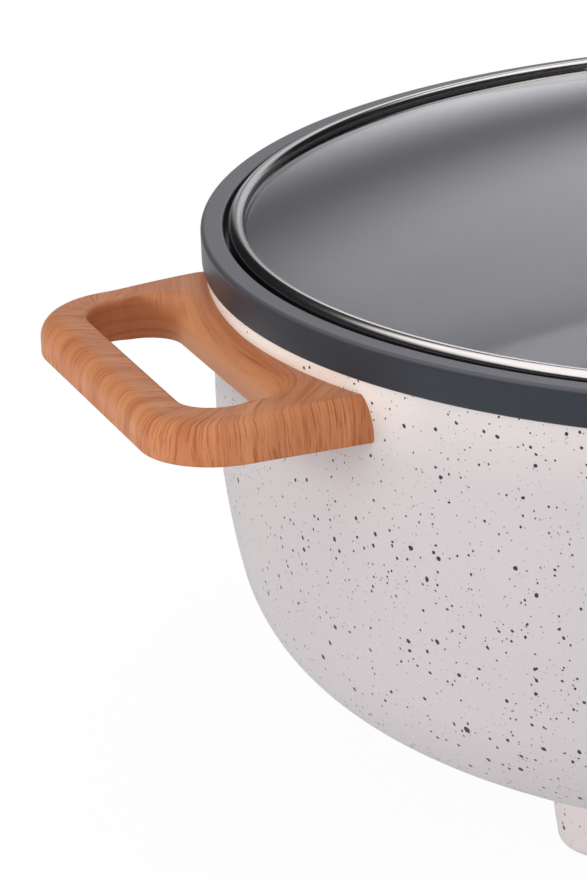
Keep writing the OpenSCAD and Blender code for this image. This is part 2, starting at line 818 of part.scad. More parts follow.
// The sensor's spring, from the guide up to the sensor's head
module sensor_spring() {
    wire_r = 0.6;
    turns = 4;
    steps = 12;
    coil_room = 0.5;
    coil_r = stem_r + wire_r + coil_room;
    from = shield_top_z + guide_h + wire_r + gap;
    rise = plate_top_z - sensor_head_t - wire_r - gap - from;
    level = [0, coil_r, 0];
    color("silver") tube([for (i = [0:turns * steps])
        let (a = 360 * i / steps)
        [coil_r * cos(a), coil_r * sin(a), from + rise * i / (turns * steps)]], wire_r, 6, level, level);
}

module thermal_fuse() {
    color("white") translate(concat(fuse_place, plate_under_z - fuse_r - hole_gap)) rotate([0, 90, 0])
        cylinder(r = fuse_r, h = fuse_l, center = true);
}

module fuse_clip() {
    clip_l = 8;
    clip_t = 1;
    clip_r = fuse_r + hole_gap;
    ear = 5;
    color("silver") translate(concat(fuse_place, plate_under_z)) difference() {
        union() {
            translate([-clip_l / 2, -clip_r - ear, -clip_t]) cube([clip_l, 2 * (clip_r + ear), clip_t]);
            translate([-clip_l / 2, -clip_r - clip_t, -2 * clip_r - clip_t])
                cube([clip_l, 2 * (clip_r + clip_t), 2 * clip_r + clip_t]);
        }
        translate([0, 0, -clip_r]) {
            rotate([0, 90, 0]) cylinder(r = clip_r, h = clip_l + 2 * past, center = true);
            translate([-clip_l / 2 - past, -clip_r, 0])
                cube([clip_l + 2 * past, 2 * clip_r, clip_r + past]);
        }
    }
}

// The terminal block on the base cover
block_from = [24, 26];
block_size = [34, 18, 13];
block_z = floor_gap + shell_wall;
block_ways = 3;
way_pitch = block_size[0] / block_ways;
way_depth = 6;
way_screw_r = 2;

function way_place(i) = block_from + [way_pitch * (i + 0.5), block_size[1] / 2];

module terminal_block() {
    color("whitesmoke") difference() {
        translate(concat(block_from, block_z)) cube(block_size);
        for (i = [0:block_ways - 1])
            translate(concat(way_place(i), block_z + block_size[2] - way_depth))
                cylinder(r = way_screw_r + hole_gap, h = way_depth + past);
    }
}

module terminal_screws() {
    color("gold") for (i = [0:block_ways - 1])
        translate(concat(way_place(i), block_z + block_size[2] - way_depth))
            cylinder(r = way_screw_r, h = way_depth);
}

// Leads inside the housing: smooth curves through a few chosen points
lead_r = 1.6;
lead_z = block_z + block_size[2] / 2;
block_back = block_from[1] + block_size[1] + gap;
block_front = block_from[1] - gap;

// A point on the smooth curve between p[i] and p[i + 1], at share f
function curve_at(p, i, f) =
    let (a = p[max(i - 1, 0)], b = p[i], c = p[i + 1], d = p[min(i + 2, len(p) - 1)])
    (2 * b + (c - a) * f + (2 * a - 5 * b + 4 * c - d) * pow(f, 2)
        + (3 * b - a - 3 * c + d) * pow(f, 3)) / 2;

module lead(p) {
    steps = 3;
    last = len(p) - 1;
    path = [for (i = [0:last - 1], k = [0:steps - 1]) curve_at(p, i, k / steps)];
    color("black") tube(concat(path, [p[last]]), lead_r, 8, p[1] - p[0], p[last] - p[last - 1]);
}

// From a pin at x down to a way of the terminal block, past the heat shield's lip at a distance aside
module inlet_lead(x, way, aside) {
    side = way_place(way)[0];
    tail = socket_floor - socket_back_t - pin_tail / 2;
    low_z = inlet_z - 26;
    wall_room = 8;
    lead([[x, tail, inlet_z - pin_r - gap], [x, tail, inlet_z - 10], [x, inner_wall(low_z) - wall_room, low_z],
        [aside, lip_r + 14, shield_z + 12], [aside + 12, plate_r + 2, shield_z - 3.5],
        [side - 6, 78, 23],
        [side, block_back + 8, lead_z], [side, block_back, lead_z]]);
}

module inlet_lead_live() inlet_lead(-pin_pitch / 2, 0, 0);
module inlet_lead_neutral() inlet_lead(pin_pitch / 2, 1, 16);

// Where the leads reach the thermostat, under its body and either side of its middle
tap_x = 8;
tap_y = -pod_reach + pod_face_t + thermostat_l - lead_r - gap;
tap_z = dial_z - sqrt(pow(thermostat_r, 2) - pow(tap_x - lead_r, 2)) - gap;

// The shared stretch of the two control leads, down the front wall on side s
function front_run(s) = [[s * tap_x, tap_y, tap_z], [s * tap_x, tap_y, tap_z - 3],
    [s * tap_x, 11 - shell_r, tap_z - 10], [s * tap_x, 17.5 - shell_r, shield_z + 24],
    [s * tap_x, -lip_r - 12, shield_z + 11]];

module control_lead() {
    side = way_place(0)[0];
    lead(concat(front_run(-1), [[-6, -106, 26.5], [4, -74, 21], [14, -40, 20], [24, -6, 19],
        [side, block_front - 8, lead_z], [side, block_front, lead_z]]));
}

module heater_lead_front() {
    end = concat(polar(element_ring_r, -cold_end_angle), cold_end_z - gap);
    lead(concat(front_run(1), [[14, -106, 26.5], [44, -64, 19], end - [3, 8, 7], end - [0, 0, 5], end]));
}

module heater_lead_back() {
    end = concat(polar(element_ring_r, cold_end_angle), cold_end_z - gap);
    side = way_place(2)[0];
    lead([[side, block_front, lead_z], [side, block_front - 5, lead_z], end - [8, 0, 7],
        end - [0, 0, 5], end]);
}

// The pot's outline: wall, corner and floor, moved inwards by t (the floor by f)
pot_corner_x = pot_top_r - tan(pot_draft) * (pot_depth - rim_h - pot_corner_r)
    - pot_corner_r / cos(pot_draft);
pot_corner_z = pot_under_z + pot_corner_r;

function pot_side_r(z, t) = pot_top_r - t / cos(pot_draft) - tan(pot_draft) * (shell_top_z - z);
function pot_skin(t, f, z) = concat([[pot_side_r(z, t), z]],
    arc([pot_corner_x, pot_corner_z], pot_corner_r - t, -pot_draft, -90), [[0, pot_under_z + f]]);

module inner_pot() {
    edge = 2;
    lean = 0.4;
    inner_edge = 0.8;
    step_r = rim_r - rim_face_w;
    color("dimgray") rotate_extrude() polygon(concat(
        arc([step_r + inner_edge, rim_height - inner_edge], inner_edge, 180, 90, 4),
        arc([rim_r - edge, rim_height - edge], edge, 90, 0, 6),
        [[rim_r - lean, shell_top_z]],
        pot_skin(0, 0, shell_top_z),
        reversed(pot_skin(pot_wall, pot_floor, ledge_z)),
        [[step_r, ledge_z]]));
}

// The lid's outlines
glass_inset = 0.8;
glass_r = lid_r - glass_inset;
glass_top_z = rim_height + lid_proud - lid_lip - gap;
dome_edge = 2;
dome_r = lid_r - lid_rim_w - dome_edge;
dome_curve_r = (pow(dome_r, 2) + pow(dome_h, 2)) / (2 * dome_h);
dome_centre_z = glass_top_z + dome_h - dome_curve_r;
dome_half_angle = asin(dome_r / dome_curve_r);
crown_z = glass_top_z + dome_h;
glass_hole_r = 4;
vent_angle = 45;
vent_tilt = asin(vent_place_r / dome_curve_r);
vent_r = 4.5;

// The vent's frame: its origin on the glass's outer face, +Z square to the glass
module at_vent() {
    rotate([0, 0, vent_angle]) translate([0, 0, dome_centre_z]) rotate([0, vent_tilt, 0])
        translate([0, 0, dome_curve_r]) children();
}

module lid_glass() {
    steps = 24;
    color("lightgray", 0.5) difference() {
        rotate_extrude() polygon(concat(
            arc([0, dome_centre_z], dome_curve_r, 90, 90 - dome_half_angle, steps),
            [[glass_r, glass_top_z], [glass_r, glass_top_z - glass_t]],
            arc([0, dome_centre_z], dome_curve_r - glass_t, 90 - dome_half_angle, 90, steps)));
        translate([0, 0, glass_top_z]) cylinder(r = glass_hole_r, h = 2 * dome_h);
        at_vent() translate([0, 0, -2 * glass_t]) cylinder(r = vent_r + hole_gap, h = 3 * glass_t);
    }
}

module lid_rim() {
    top_z = rim_height + lid_proud;
    lip_step = 0.7;
    low_lip_w = lid_rim_w - lip_step;
    round_top = 0.8;
    slot = [[lid_r - lid_rim_w, glass_top_z + gap], [glass_r + gap, glass_top_z + gap],
        [glass_r + gap, glass_top_z - glass_t - gap], [lid_r - low_lip_w, glass_top_z - glass_t - gap]];
    color("silver") rotate_extrude() polygon(concat(slot, [[lid_r - low_lip_w, ledge_z], [lid_r, ledge_z]],
        arc([lid_r - round_top, top_z - round_top], round_top, 0, 90, 5),
        [[lid_r - lid_rim_w + lid_lip / 2, top_z], [lid_r - lid_rim_w, top_z - lid_lip / 2]]));
}

// Knob sizes: the steel collar on the glass, the screw and its washers
collar_r = 19;
collar_h = 5;
knob_screw_r = 3;
knob_screw_head_r = 7;
knob_screw_head_t = 3;
knob_screw_in = 13;
washer_r = 11;
washer_t = 1.5;
knob_z = crown_z + collar_h;
glass_under_z = crown_z - glass_t;

module knob_collar() {
    edge = 2;
    color("silver") difference() {
        rotate_extrude() polygon(concat([[0, crown_z], [collar_r, crown_z]],
            arc([collar_r - edge, knob_z - edge], edge, 0, 90, 5), [[0, knob_z]]));
        translate([0, 0, crown_z - past]) cylinder(r = knob_screw_r + hole_gap, h = collar_h + 2 * past);
    }
}

module lid_knob() {
    neck_r = knob_r - 9;
    flare = knob_h - 12;
    crown = 5;
    edge = 3;
    cap_r = (pow(knob_r - edge, 2) + pow(crown, 2)) / (2 * crown);
    cap_angle = asin((knob_r - edge) / cap_r);
    shoulder_z = knob_z + knob_h - crown;
    color("peru") difference() {
        rotate_extrude() polygon(concat([[0, knob_z]],
            arc([neck_r + flare, knob_z], flare, 180, 115, 8),
            arc([knob_r - edge, shoulder_z - edge], edge, -60, 90, 8),
            arc([0, shoulder_z + crown - cap_r], cap_r, 90 - cap_angle, 90, 8)));
        translate([0, 0, knob_z - past])
            cylinder(r = knob_screw_r + hole_gap, h = knob_screw_in + 2 * past);
    }
}

module knob_washer() {
    color("dimgray") translate([0, 0, glass_under_z - washer_t - hole_gap]) difference() {
        cylinder(r = washer_r, h = washer_t);
        translate([0, 0, -past]) cylinder(r = knob_screw_r + hole_gap, h = washer_t + 2 * past);
    }
}

module knob_screw() {
    seat = glass_under_z - washer_t - hole_gap;
    color("silver") translate([0, 0, seat])
        screw(knob_screw_r, knob_z + knob_screw_in - seat, knob_screw_head_r, knob_screw_head_t);
}

module vent_grommet() {
    lip_t = 1;
    lip_w = 2.5;
    bore_r = vent_r - 1.2;
    color("silver") at_vent() rotate_extrude() polygon([
        [bore_r, -glass_t - gap - lip_t], [vent_r + lip_w, -glass_t - gap - lip_t],
        [vent_r + lip_w, -glass_t - gap], [vent_r, -glass_t - gap], [vent_r, gap], [vent_r + lip_w, gap],
        [vent_r + lip_w - 0.5, gap + lip_t], [bore_r, gap + lip_t]]);
}

outer_shell();
base_cover();
cover_screws();
foot_front_left();
foot_front_right();
foot_back();
pad_front_left();
pad_front_right();
pad_back();
foot_screws();
left_handle();
right_handle();
handle_screws();
control_pod();
control_screws();
thermostat();
control_nut();
dial_shaft();
dial_knob();
dial_pointer();
indicator_lens();
indicator_lamp();
inlet_housing();
inlet_pins();
inlet_screws();
heating_plate();
heating_element();
heat_shield();
shield_screws();
plate_spacers();
plate_nuts();
sensor_cap();
sensor_guide();
sensor_spring();
thermal_fuse();
fuse_clip();
terminal_block();
terminal_screws();
inlet_lead_live();
inlet_lead_neutral();
control_lead();
heater_lead_front();
heater_lead_back();
inner_pot();
lid_glass();
lid_rim();
lid_knob();
knob_collar();
knob_screw();
knob_washer();
vent_grommet();
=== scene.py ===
# %% [markdown]
# # Dressing an electric skillet
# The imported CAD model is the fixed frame: every solid is already in its place, in metres.
# This lesson gives each piece its finish, and rebuilds the few whose facets would show up close.

# %% Load the frame
import json
import math

import bmesh
import bpy
import numpy as np
from mathutils import Matrix, Vector


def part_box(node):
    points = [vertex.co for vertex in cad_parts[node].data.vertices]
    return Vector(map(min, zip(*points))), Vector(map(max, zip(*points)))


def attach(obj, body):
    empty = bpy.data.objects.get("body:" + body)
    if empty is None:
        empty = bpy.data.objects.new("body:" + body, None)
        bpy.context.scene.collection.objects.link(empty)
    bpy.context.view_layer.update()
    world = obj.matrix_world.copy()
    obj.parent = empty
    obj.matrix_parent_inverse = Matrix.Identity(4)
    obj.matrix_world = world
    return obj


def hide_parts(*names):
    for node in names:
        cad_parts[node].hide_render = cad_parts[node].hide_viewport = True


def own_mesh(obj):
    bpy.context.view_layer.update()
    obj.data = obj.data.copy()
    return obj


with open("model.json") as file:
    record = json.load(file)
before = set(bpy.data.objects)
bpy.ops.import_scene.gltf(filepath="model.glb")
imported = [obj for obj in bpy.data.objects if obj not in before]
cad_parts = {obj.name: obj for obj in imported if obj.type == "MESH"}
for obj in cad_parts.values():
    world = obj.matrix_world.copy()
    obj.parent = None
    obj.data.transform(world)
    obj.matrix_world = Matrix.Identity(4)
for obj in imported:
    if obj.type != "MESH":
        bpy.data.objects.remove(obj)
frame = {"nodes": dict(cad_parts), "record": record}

MM = 0.001
scene = bpy.context.scene
nodes = frame["nodes"]
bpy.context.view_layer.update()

# %% [markdown]
# ## The camera
# The photograph is a close crop taken with a long lens. The rim's two ellipses gave the distance, the
# height and the small turns below, measured from the centre of the rim's top face. A long lens keeps
# the ellipses nearly parallel, so the lens is set from the focal length in pixels, with no shift.

# %% Camera
IMAGE_H = 880
FOCAL_PX = 4068.6
SENSOR = 36.0
rim_top_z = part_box("inner_pot")[1].z
azimuth, elevation, distance = math.radians(-27.7), math.radians(16.384), 1.0724
yaw, pitch, roll = (math.radians(v) for v in (7.560, -3.3946, 0.2962))

outward = Vector((math.sin(azimuth) * math.cos(elevation),
                  -math.cos(azimuth) * math.cos(elevation), math.sin(elevation)))
forward = -outward
right = forward.cross(Vector((0, 0, 1))).normalized()
up = right.cross(forward)
turn = Matrix.Rotation(yaw, 3, up)
forward, right = turn @ forward, turn @ right
turn = Matrix.Rotation(pitch, 3, right)
forward, up = turn @ forward, turn @ up
turn = Matrix.Rotation(roll, 3, forward)
right, up = turn @ right, turn @ up

lens = bpy.data.cameras.new("photo_camera")
lens.sensor_width = SENSOR
lens.lens = FOCAL_PX * SENSOR / IMAGE_H
camera = bpy.data.objects.new("photo_camera", lens)
scene.collection.objects.link(camera)
place = Matrix((right, up, -forward)).transposed().to_4x4()
place.translation = Vector((0, 0, rim_top_z)) + outward * distance
camera.matrix_world = place
scene.camera = camera
print("lens", round(lens.lens, 1), "mm, camera at", [round(v, 3) for v in place.translation])

# %% [markdown]
# ## Node maths as Python
# A finish is a graph of small nodes. Wiring each by hand hides the idea, so `Value` wraps a socket and
# lets Python's operators add the Math nodes, and `Graph.node` adds any other node in one call.

# %% Value and Graph
class Value:
    """A number that flows along a link: the operators add Math nodes."""

    def __init__(self, tree, socket):
        self.tree, self.socket = tree, socket

    def math(self, operation, *values):
        node = self.tree.nodes.new("ShaderNodeMath")
        node.operation = operation
        for slot, value in zip(node.inputs, values):
            if isinstance(value, Value):
                self.tree.links.new(value.socket, slot)
            else:
                slot.default_value = value
        return Value(self.tree, node.outputs[0])

    def __add__(self, other):
        return self.math("ADD", self, other)

    def __sub__(self, other):
        return self.math("SUBTRACT", self, other)

    def __rsub__(self, other):
        return self.math("SUBTRACT", other, self)

    def __mul__(self, other):
        return self.math("MULTIPLY", self, other)

    def __truediv__(self, other):
        return self.math("DIVIDE", self, other)

    def __pow__(self, other):
        return self.math("POWER", self, other)

    def __neg__(self):
        return self.math("MULTIPLY", self, -1.0)

    def __lt__(self, other):
        return self.math("LESS_THAN", self, other)

    def __or__(self, other):
        return self.math("MAXIMUM", self, other)

    __radd__ = __add__
    __rmul__ = __mul__


class Graph:
    """A node tree, with one method that adds a node, sets it and links it."""

    def __init__(self, tree):
        self.tree = tree

    def node(self, kind, settings=None, sockets=None, output=0):
        node = self.tree.nodes.new(kind)
        for key, value in (settings or {}).items():
            setattr(node, key, value)
        for key, value in (sockets or {}).items():
            self.feed(node.inputs[key], value)
        return Value(self.tree, node.outputs[output])

    def feed(self, socket, value):
        if isinstance(value, Value):
            self.tree.links.new(value.socket, socket)
        else:
            socket.default_value = value

    def mix(self, factor, first, second):
        """Colour first where factor is 0, second where it is 1."""
        return self.node("ShaderNodeMix", {"data_type": "RGBA"}, {0: factor, 6: first, 7: second}, 2)

    def step(self, value, low, high):
        """A smooth step from 0 at low to 1 at high."""
        return self.node("ShaderNodeMapRange", {"interpolation_type": "SMOOTHSTEP"},
                         {"Value": value, "From Min": low, "From Max": high})

    def noise(self, place, scale, detail=2.0, roughness=0.5, output=0):
        sockets = {"Vector": place, "Scale": scale, "Detail": detail, "Roughness": roughness}
        return self.node("ShaderNodeTexNoise", None, sockets, output)

    def apart(self, vector):
        """The three numbers of a vector."""
        first = self.node("ShaderNodeSeparateXYZ", None, {0: vector})
        return [Value(self.tree, socket) for socket in first.socket.node.outputs]

    def vector(self, operation, *values):
        return self.node("ShaderNodeVectorMath", {"operation": operation}, dict(enumerate(values)))

    def joined(self, x, y, z=0.0):
        return self.node("ShaderNodeCombineXYZ", None, {0: x, 1: y, 2: z})


def rgb(red, green, blue):
    """A colour as a picture shows it, 0 to 255, in the linear form that shaders take."""
    def linear(v):
        v /= 255
        return v / 12.92 if v <= 0.04045 else ((v + 0.055) / 1.055) ** 2.4
    return (linear(red), linear(green), linear(blue), 1.0)


class Finish(Graph):
    """A material: constants go straight onto its Principled shader, patterns are fed to it."""

    def __init__(self, name, **constants):
        self.material = bpy.data.materials.new(name)
        self.material.use_nodes = True
        super().__init__(self.material.node_tree)
        self.shader = self.tree.nodes["Principled BSDF"]
        for key, value in constants.items():
            self.shader.inputs[key.replace("_", " ")].default_value = value

    def paint(self, **patterns):
        for key, value in patterns.items():
            self.feed(self.shader.inputs[key.replace("_", " ")], value)

    def place(self):
        """The point on the piece, in metres, from the piece's own frame."""
        return self.node("ShaderNodeTexCoord", None, None, 3)

    def attribute(self, name):
        return self.node("ShaderNodeAttribute", {"attribute_name": name}, None, 2)

    def bump(self, height, depth):
        sockets = {"Height": height, "Distance": depth, "Strength": 1.0}
        self.paint(Normal=self.node("ShaderNodeBump", None, sockets))


print("node helpers ready")

# %% [markdown]
# ## Stage and light
# A product picture like this one is lit by very large soft lamps in a white room. The floor is white to
# the camera by Is Camera Ray, so that no extra light falls on the skillet, and keeps a trace of its
# shadow. Mirrors and glass see another room: a backdrop with a dark gap above the table, a softbox
# overhead, and black beside them. Without it polished steel has nothing to reflect but white.

# %% Floor
FLOOR_R = 6.0


def floor_disc():
    mesh = bpy.data.meshes.new("floor")
    form = bmesh.new()
    bmesh.ops.create_circle(form, cap_ends=True, segments=96, radius=FLOOR_R)
    form.to_mesh(mesh)
    form.free()
    floor = bpy.data.objects.new("floor", mesh)
    scene.collection.objects.link(floor)
    return floor


floor = floor_disc()
pale = Finish("floor_white", Base_Color=(0.9, 0.88, 0.92, 1), Roughness=0.9)
pale.shader.inputs["Specular IOR Level"].default_value = 0.0
path = pale.tree.nodes.new("ShaderNodeLightPath")
in_view, in_mirror, past_glass = (Value(pale.tree, path.outputs[kind]) for kind in (
    "Is Camera Ray", "Is Glossy Ray", "Is Transmission Ray"))
seen = in_view | in_mirror | past_glass
from_middle = pale.node("ShaderNodeVectorMath", {"operation": "LENGTH"}, {0: pale.place()}, 1)
# The share of shadow that is kept under the skillet, the radii in metres between which it ends, and what
# mirrors lose of the floor's white
SHADOW, SHADOW_R, MIRROR_LOSS = 0.04, (0.14, 0.3), 0.35
far = pale.step(from_middle, *SHADOW_R)
white = pale.node("ShaderNodeEmission", None, {"Color": (1, 1, 1, 1), "Strength": 1 - in_mirror * MIRROR_LOSS})
lit = Value(pale.tree, pale.shader.outputs[0])
near_white = pale.node("ShaderNodeMixShader", None, {0: seen * (far * SHADOW + (1 - SHADOW)), 1: lit, 2: white})
pale.feed(pale.tree.nodes["Material Output"].inputs["Surface"], near_white)
floor.data.materials.append(pale.material)
print("floor", FLOOR_R, "m in radius")

# %% World
scene.view_settings.view_transform = "Standard"
world = bpy.data.worlds.new("white_room")
scene.world = world
world.use_nodes = True
room = Graph(world.node_tree)
path = room.tree.nodes.new("ShaderNodeLightPath")
to_camera = Value(room.tree, path.outputs["Is Camera Ray"])
past_glass = Value(room.tree, path.outputs["Is Transmission Ray"])
bounces = Value(room.tree, path.outputs["Glossy Depth"])
from_back_face = past_glass * bounces.math("GREATER_THAN", bounces, 0.5)
to_mirror = Value(room.tree, path.outputs["Is Glossy Ray"]) | from_back_face
to_glass = past_glass - from_back_face
aside, ahead, height = room.apart(room.node("ShaderNodeTexCoord", None, None, 0))
ROOM_LIGHT, SOFTBOX_LIGHT, DARKEST = 0.55, 1.3, 0.02
# The camera's own sideways direction, as x and y
SIDE_X, SIDE_Y = 0.885, -0.465
# The backdrop: pale at the table's edge, a dark gap above it that leans to the left, then a glow with a
# bright panel along its top. Each band has the heights where it starts and ends, and its change of light.
TABLE_GLOW, GAP_LEAN = 0.9, 0.77
BANDS = ((0.22, 0.41, -0.63), (0.41, 0.61, 0.73), (0.58, 0.76, 0.2))
DIM, DIM_AT, PANEL, PANEL_AT, PANEL_LEAN = 0.3, (0.52, 0.62), 0.5, (0.64, 0.652), 0.245
RIGHT_FROM, BACK_FROM, BACKDROP_TOP = (0.06, 0.19), (0.4, 0.62), (0.63, 0.68)
lean = height + aside * GAP_LEAN
glow = TABLE_GLOW
for start, end, change in BANDS:
    glow = room.step(lean, start, end) * change + glow
glow = glow * (1 - room.step(height, *DIM_AT) * DIM)
panel = room.step(height + aside * PANEL_LEAN, *PANEL_AT) * PANEL
behind = room.step(aside, *RIGHT_FROM) * room.step(ahead, *BACK_FROM)
backdrop = (glow + panel) * (1 - room.step(height, *BACKDROP_TOP)) * behind
# The overhead softbox, from a little behind the skillet to well in front of it, where a plane one unit
# above the skillet is cut by the direction
BOX_SIDE, BOX_BACK, BOX_FRONT, BOX_LOW, HORIZON = (0.8, 1.6), (-0.8, -0.5), (0.6, 2.1), (0.2, 0.4), 0.05
front = (aside * SIDE_Y + ahead * -SIDE_X) / (height | HORIZON)
sideways = (aside * SIDE_X + ahead * SIDE_Y) / (height | HORIZON)
wide = 1 - room.step(sideways.math("ABSOLUTE", sideways), *BOX_SIDE)
long = room.step(front, *BOX_BACK) * (1 - room.step(front, *BOX_FRONT))
softbox = long * wide * room.step(height, *BOX_LOW)
mirrored = (backdrop | softbox * SOFTBOX_LIGHT) | DARKEST
level = to_mirror * mirrored + to_glass + to_camera
level = level + (1 - (to_mirror | to_glass | to_camera)) * ROOM_LIGHT
background = room.tree.nodes["Background"]
room.feed(background.inputs["Color"], room.mix(to_mirror, (1.0, 0.995, 0.99, 1), (0.985, 0.975, 1.03, 1)))
room.feed(background.inputs["Strength"], level)
print("room light", ROOM_LIGHT)

# %% Lamps
def soft_lamp(name, place, aim, size, power):
    data = bpy.data.lights.new(name, "AREA")
    data.shape = "RECTANGLE"
    data.size, data.size_y = size
    data.energy = power
    lamp = bpy.data.objects.new(name, data)
    scene.collection.objects.link(lamp)
    lamp.location = place
    lamp.rotation_euler = (Vector(aim) - Vector(place)).to_track_quat("-Z", "Y").to_euler()
    return lamp


overhead = soft_lamp("overhead", (-0.2, -0.3, 1.9), (0, 0, 0.1), (2.2, 2.2), 10)
left_key = soft_lamp("left_key", (-2.2, -0.4, 0.45), (0, 0, 0.1), (1.8, 0.9), 22)
front_fill = soft_lamp("front_fill", (0.2, -2.4, 0.5), (0, 0, 0.1), (1.8, 0.9), 8)
for lamp in (overhead, left_key, front_fill):
    lamp.visible_glossy = False
    print(lamp.name, lamp.data.energy, "W")

# %% [markdown]
# ## Speckled enamel
# The housing is sprayed cream with drops of blue-black flicked over it: many fine ones, fewer of a
# millimetre, and rare blobs, in drifts. A Voronoi texture gives each cell one point and a random
# colour, so a drop is "nearer to the point than a random radius, in a random share of the cells".
# Cells in space and not on the surface need no unwrapping, and cut the drops round on any curve. Under
# the rim the cream is painted paler and fewer drops are drawn, most beside the handles: painted light.

# %% Speckle
CREAM, CREAM_SHADE = rgb(203, 197, 196), rgb(196, 190, 192)
DROP = rgb(38, 44, 56)
# Cell size, smallest and largest drop radius in millimetres, share of cells with a drop, darkness
DROPS = ((8.0, 0.55, 1.0, 0.8, 1.0), (4.0, 0.36, 0.72, 0.85, 1.0), (2.2, 0.22, 0.42, 0.85, 1.0),
         (1.3, 0.12, 0.22, 0.9, 0.7))
# The power that makes most drops small, the softness of their edge in millimetres, and in metres how far
# their outlines stray from round
MOSTLY_SMALL, SOFT_EDGE, STRAY = 2.2, 0.07, 0.0006
# The paler cream of the painted light, and the places in metres between which it comes in: upwards, out
# to the sides, and towards the front, for the colour and for the drops
CREAM_PAINTED_LIGHT = rgb(252, 241, 230)
PALE_UP, PALE_OUT, PALE_FRONT, DROPS_FRONT = (0.118, 0.139), (0.04, 0.12), (0.03, 0.1), (0.03, 0.06)
# The share of the painted light all round under the rim, and of the drops left out where it is painted
PALE_ROUND, DROPS_LOST = 0.25, 0.7


def drops(finish, place, drift, cell, low, high, share, seed):
    """A mask of round drops, 1 inside a drop."""
    moved = finish.vector("ADD", place, (seed, 1.7 * seed, -seed))
    scale = 1 / (cell * MM)
    texture = finish.node("ShaderNodeTexVoronoi", None, {"Vector": moved, "Scale": scale})
    cells = Value(finish.tree, texture.socket.node.outputs["Color"])
    picks = finish.node("ShaderNodeSeparateColor", None, {0: cells})
    pick = Value(finish.tree, picks.socket.node.outputs[1])
    radius = (low + (high - low) * picks ** MOSTLY_SMALL) / cell
    edge = SOFT_EDGE / cell
    inside = finish.step((radius - texture) / edge, -1.0, 1.0)
    return inside * (pick < drift * share)


def speckled(name, amount=1.0, cream=CREAM, cream_shade=CREAM_SHADE):
    finish = Finish(name, Roughness=0.36, Coat_Weight=0.25, Coat_Roughness=0.12)
    place = finish.place()
    wobble = finish.vector("SUBTRACT", finish.noise(place, 900.0, 1.0, output=1), (0.5, 0.5, 0.5))
    wobble = finish.vector("MULTIPLY", wobble, (STRAY, STRAY, STRAY))
    bent = finish.vector("ADD", place, wobble)
    drift = (finish.noise(place, 26.0, 2.0) * 2.6 - 0.3) * amount
    shade = finish.mix(finish.noise(place, 14.0, 2.0), cream, cream_shade)
    x, y, z = finish.apart(place)
    high = finish.step(z, *PALE_UP)
    out = high * finish.step(x.math("ABSOLUTE", x), *PALE_OUT)
    # Painted light: the cream is painted paler all round under the rim, most beside the handles, and fewer drops
    # are drawn there
    shade = finish.mix(out * (1 - finish.step(-y, *PALE_FRONT)) | high * PALE_ROUND, shade, CREAM_PAINTED_LIGHT)
    drift = drift * (1 - out * (1 - finish.step(-y, *DROPS_FRONT)) * DROPS_LOST)
    raised = 0.0
    for seed, (cell, small, large, share, dark) in enumerate(DROPS):
        mask = drops(finish, bent, drift, cell, small, large, share, 0.37 * (seed + 1))
        shade = finish.mix(mask * dark, shade, DROP)
        raised = mask * dark + raised
    finish.paint(Base_Color=shade, Roughness=0.36 + raised * 0.1)
    finish.bump(raised * 0.25 + finish.noise(place, 420.0, 3.0) * 0.2, 0.00006)
    return finish.material


housing_finish = speckled("speckled_enamel")
foot_finish = speckled("speckled_foot", 0.35, rgb(226, 216, 214), rgb(219, 209, 208))
print(len(DROPS), "sizes of drop")

# %% [markdown]
# ## Printed wood
# The handles are plastic with a wood print wrapped round them: thin brown lines run across the bar,
# over its rounded edge and down its outer face, and near the housing they swing round to follow the
# rim. Numbers stored on the mesh say where a point is across the lines, how far in from the outside and
# how near to the finger gap, so the shader only has to draw straight grain. The same numbers place
# painted light on the gap's saddle and painted shade on its other walls, and painted shade darkens the
# wood near the housing. The knob gets plain lines.

# %% Wood
WOOD_LIGHT, WOOD_MID, WOOD_DARK, WOOD_PORE_AND_SHADE = (rgb(206, 139, 95), rgb(191, 121, 79), rgb(164, 85, 41),
                                              rgb(144, 69, 30))
WOOD_PAINTED_LIGHT = rgb(224, 158, 113)
WOOD_GLOSS, WOOD_ROUGH, GRAIN_DEPTH = 0.3, 0.4, 0.00003


def wood_grain(finish, across, along, seed, pores=0.6):
    """Colour and depth of grain whose lines run along, with both lengths in millimetres.

    Each noise is drawn out along the lines: its two factors are cycles per millimetre."""
    slow = finish.noise(finish.joined(across * 0.04, along * 0.03, seed), 1.0, 2.0)
    across = across + slow * 7.0
    band = finish.noise(finish.joined(across * 0.22, along * 0.02, seed + 3.0), 1.0, 3.0)
    patch = finish.noise(finish.joined(across * 0.16, along * 0.07, seed + 5.0), 1.0, 2.0)
    line = finish.noise(finish.joined(across * 1.1, along * 0.045, seed + 7.0), 1.0, 3.0, 0.65)
    pore = finish.noise(finish.joined(across * 2.2, along * 0.14, seed + 11.0), 1.0, 2.0, 0.6)
    colour = finish.mix(finish.step(band, 0.3, 0.7), WOOD_LIGHT, WOOD_MID)
    dark = finish.step(line, 0.46, 0.64) * (0.3 + finish.step(patch, 0.35, 0.65) * 0.6)
    colour = finish.mix(dark * 0.8, colour, WOOD_DARK)
    deep = finish.step(pore, 0.54, 0.66)
    colour = finish.mix(deep * pores, colour, WOOD_PORE_AND_SHADE)
    return colour, dark * 0.6 + deep


# Lengths in millimetres: where the lines begin to lean on the top, where they turn sharply beside the
# front arm and how round that turn is, and the colours' places by radius or by distance from the outside,
# the last two for painted light on the gap's saddle and painted shade near the housing
LEAN_FROM, LEAN, TURN_Y, TURN_ROUND, TURN = 2.5, 0.75, 38.0, 7.0, 1.24
SWUNG_IN, SWUNG_R, SADDLE_IN, PAINTED_LIGHT_IN, ROOT_PAINTED_SHADE_R = (
    (1.0, 6.0), (170.0, 187.0), (13.5, 18.0), (14.0, 28.0), (163.0, 172.0))
FEW_PORES = 0.3


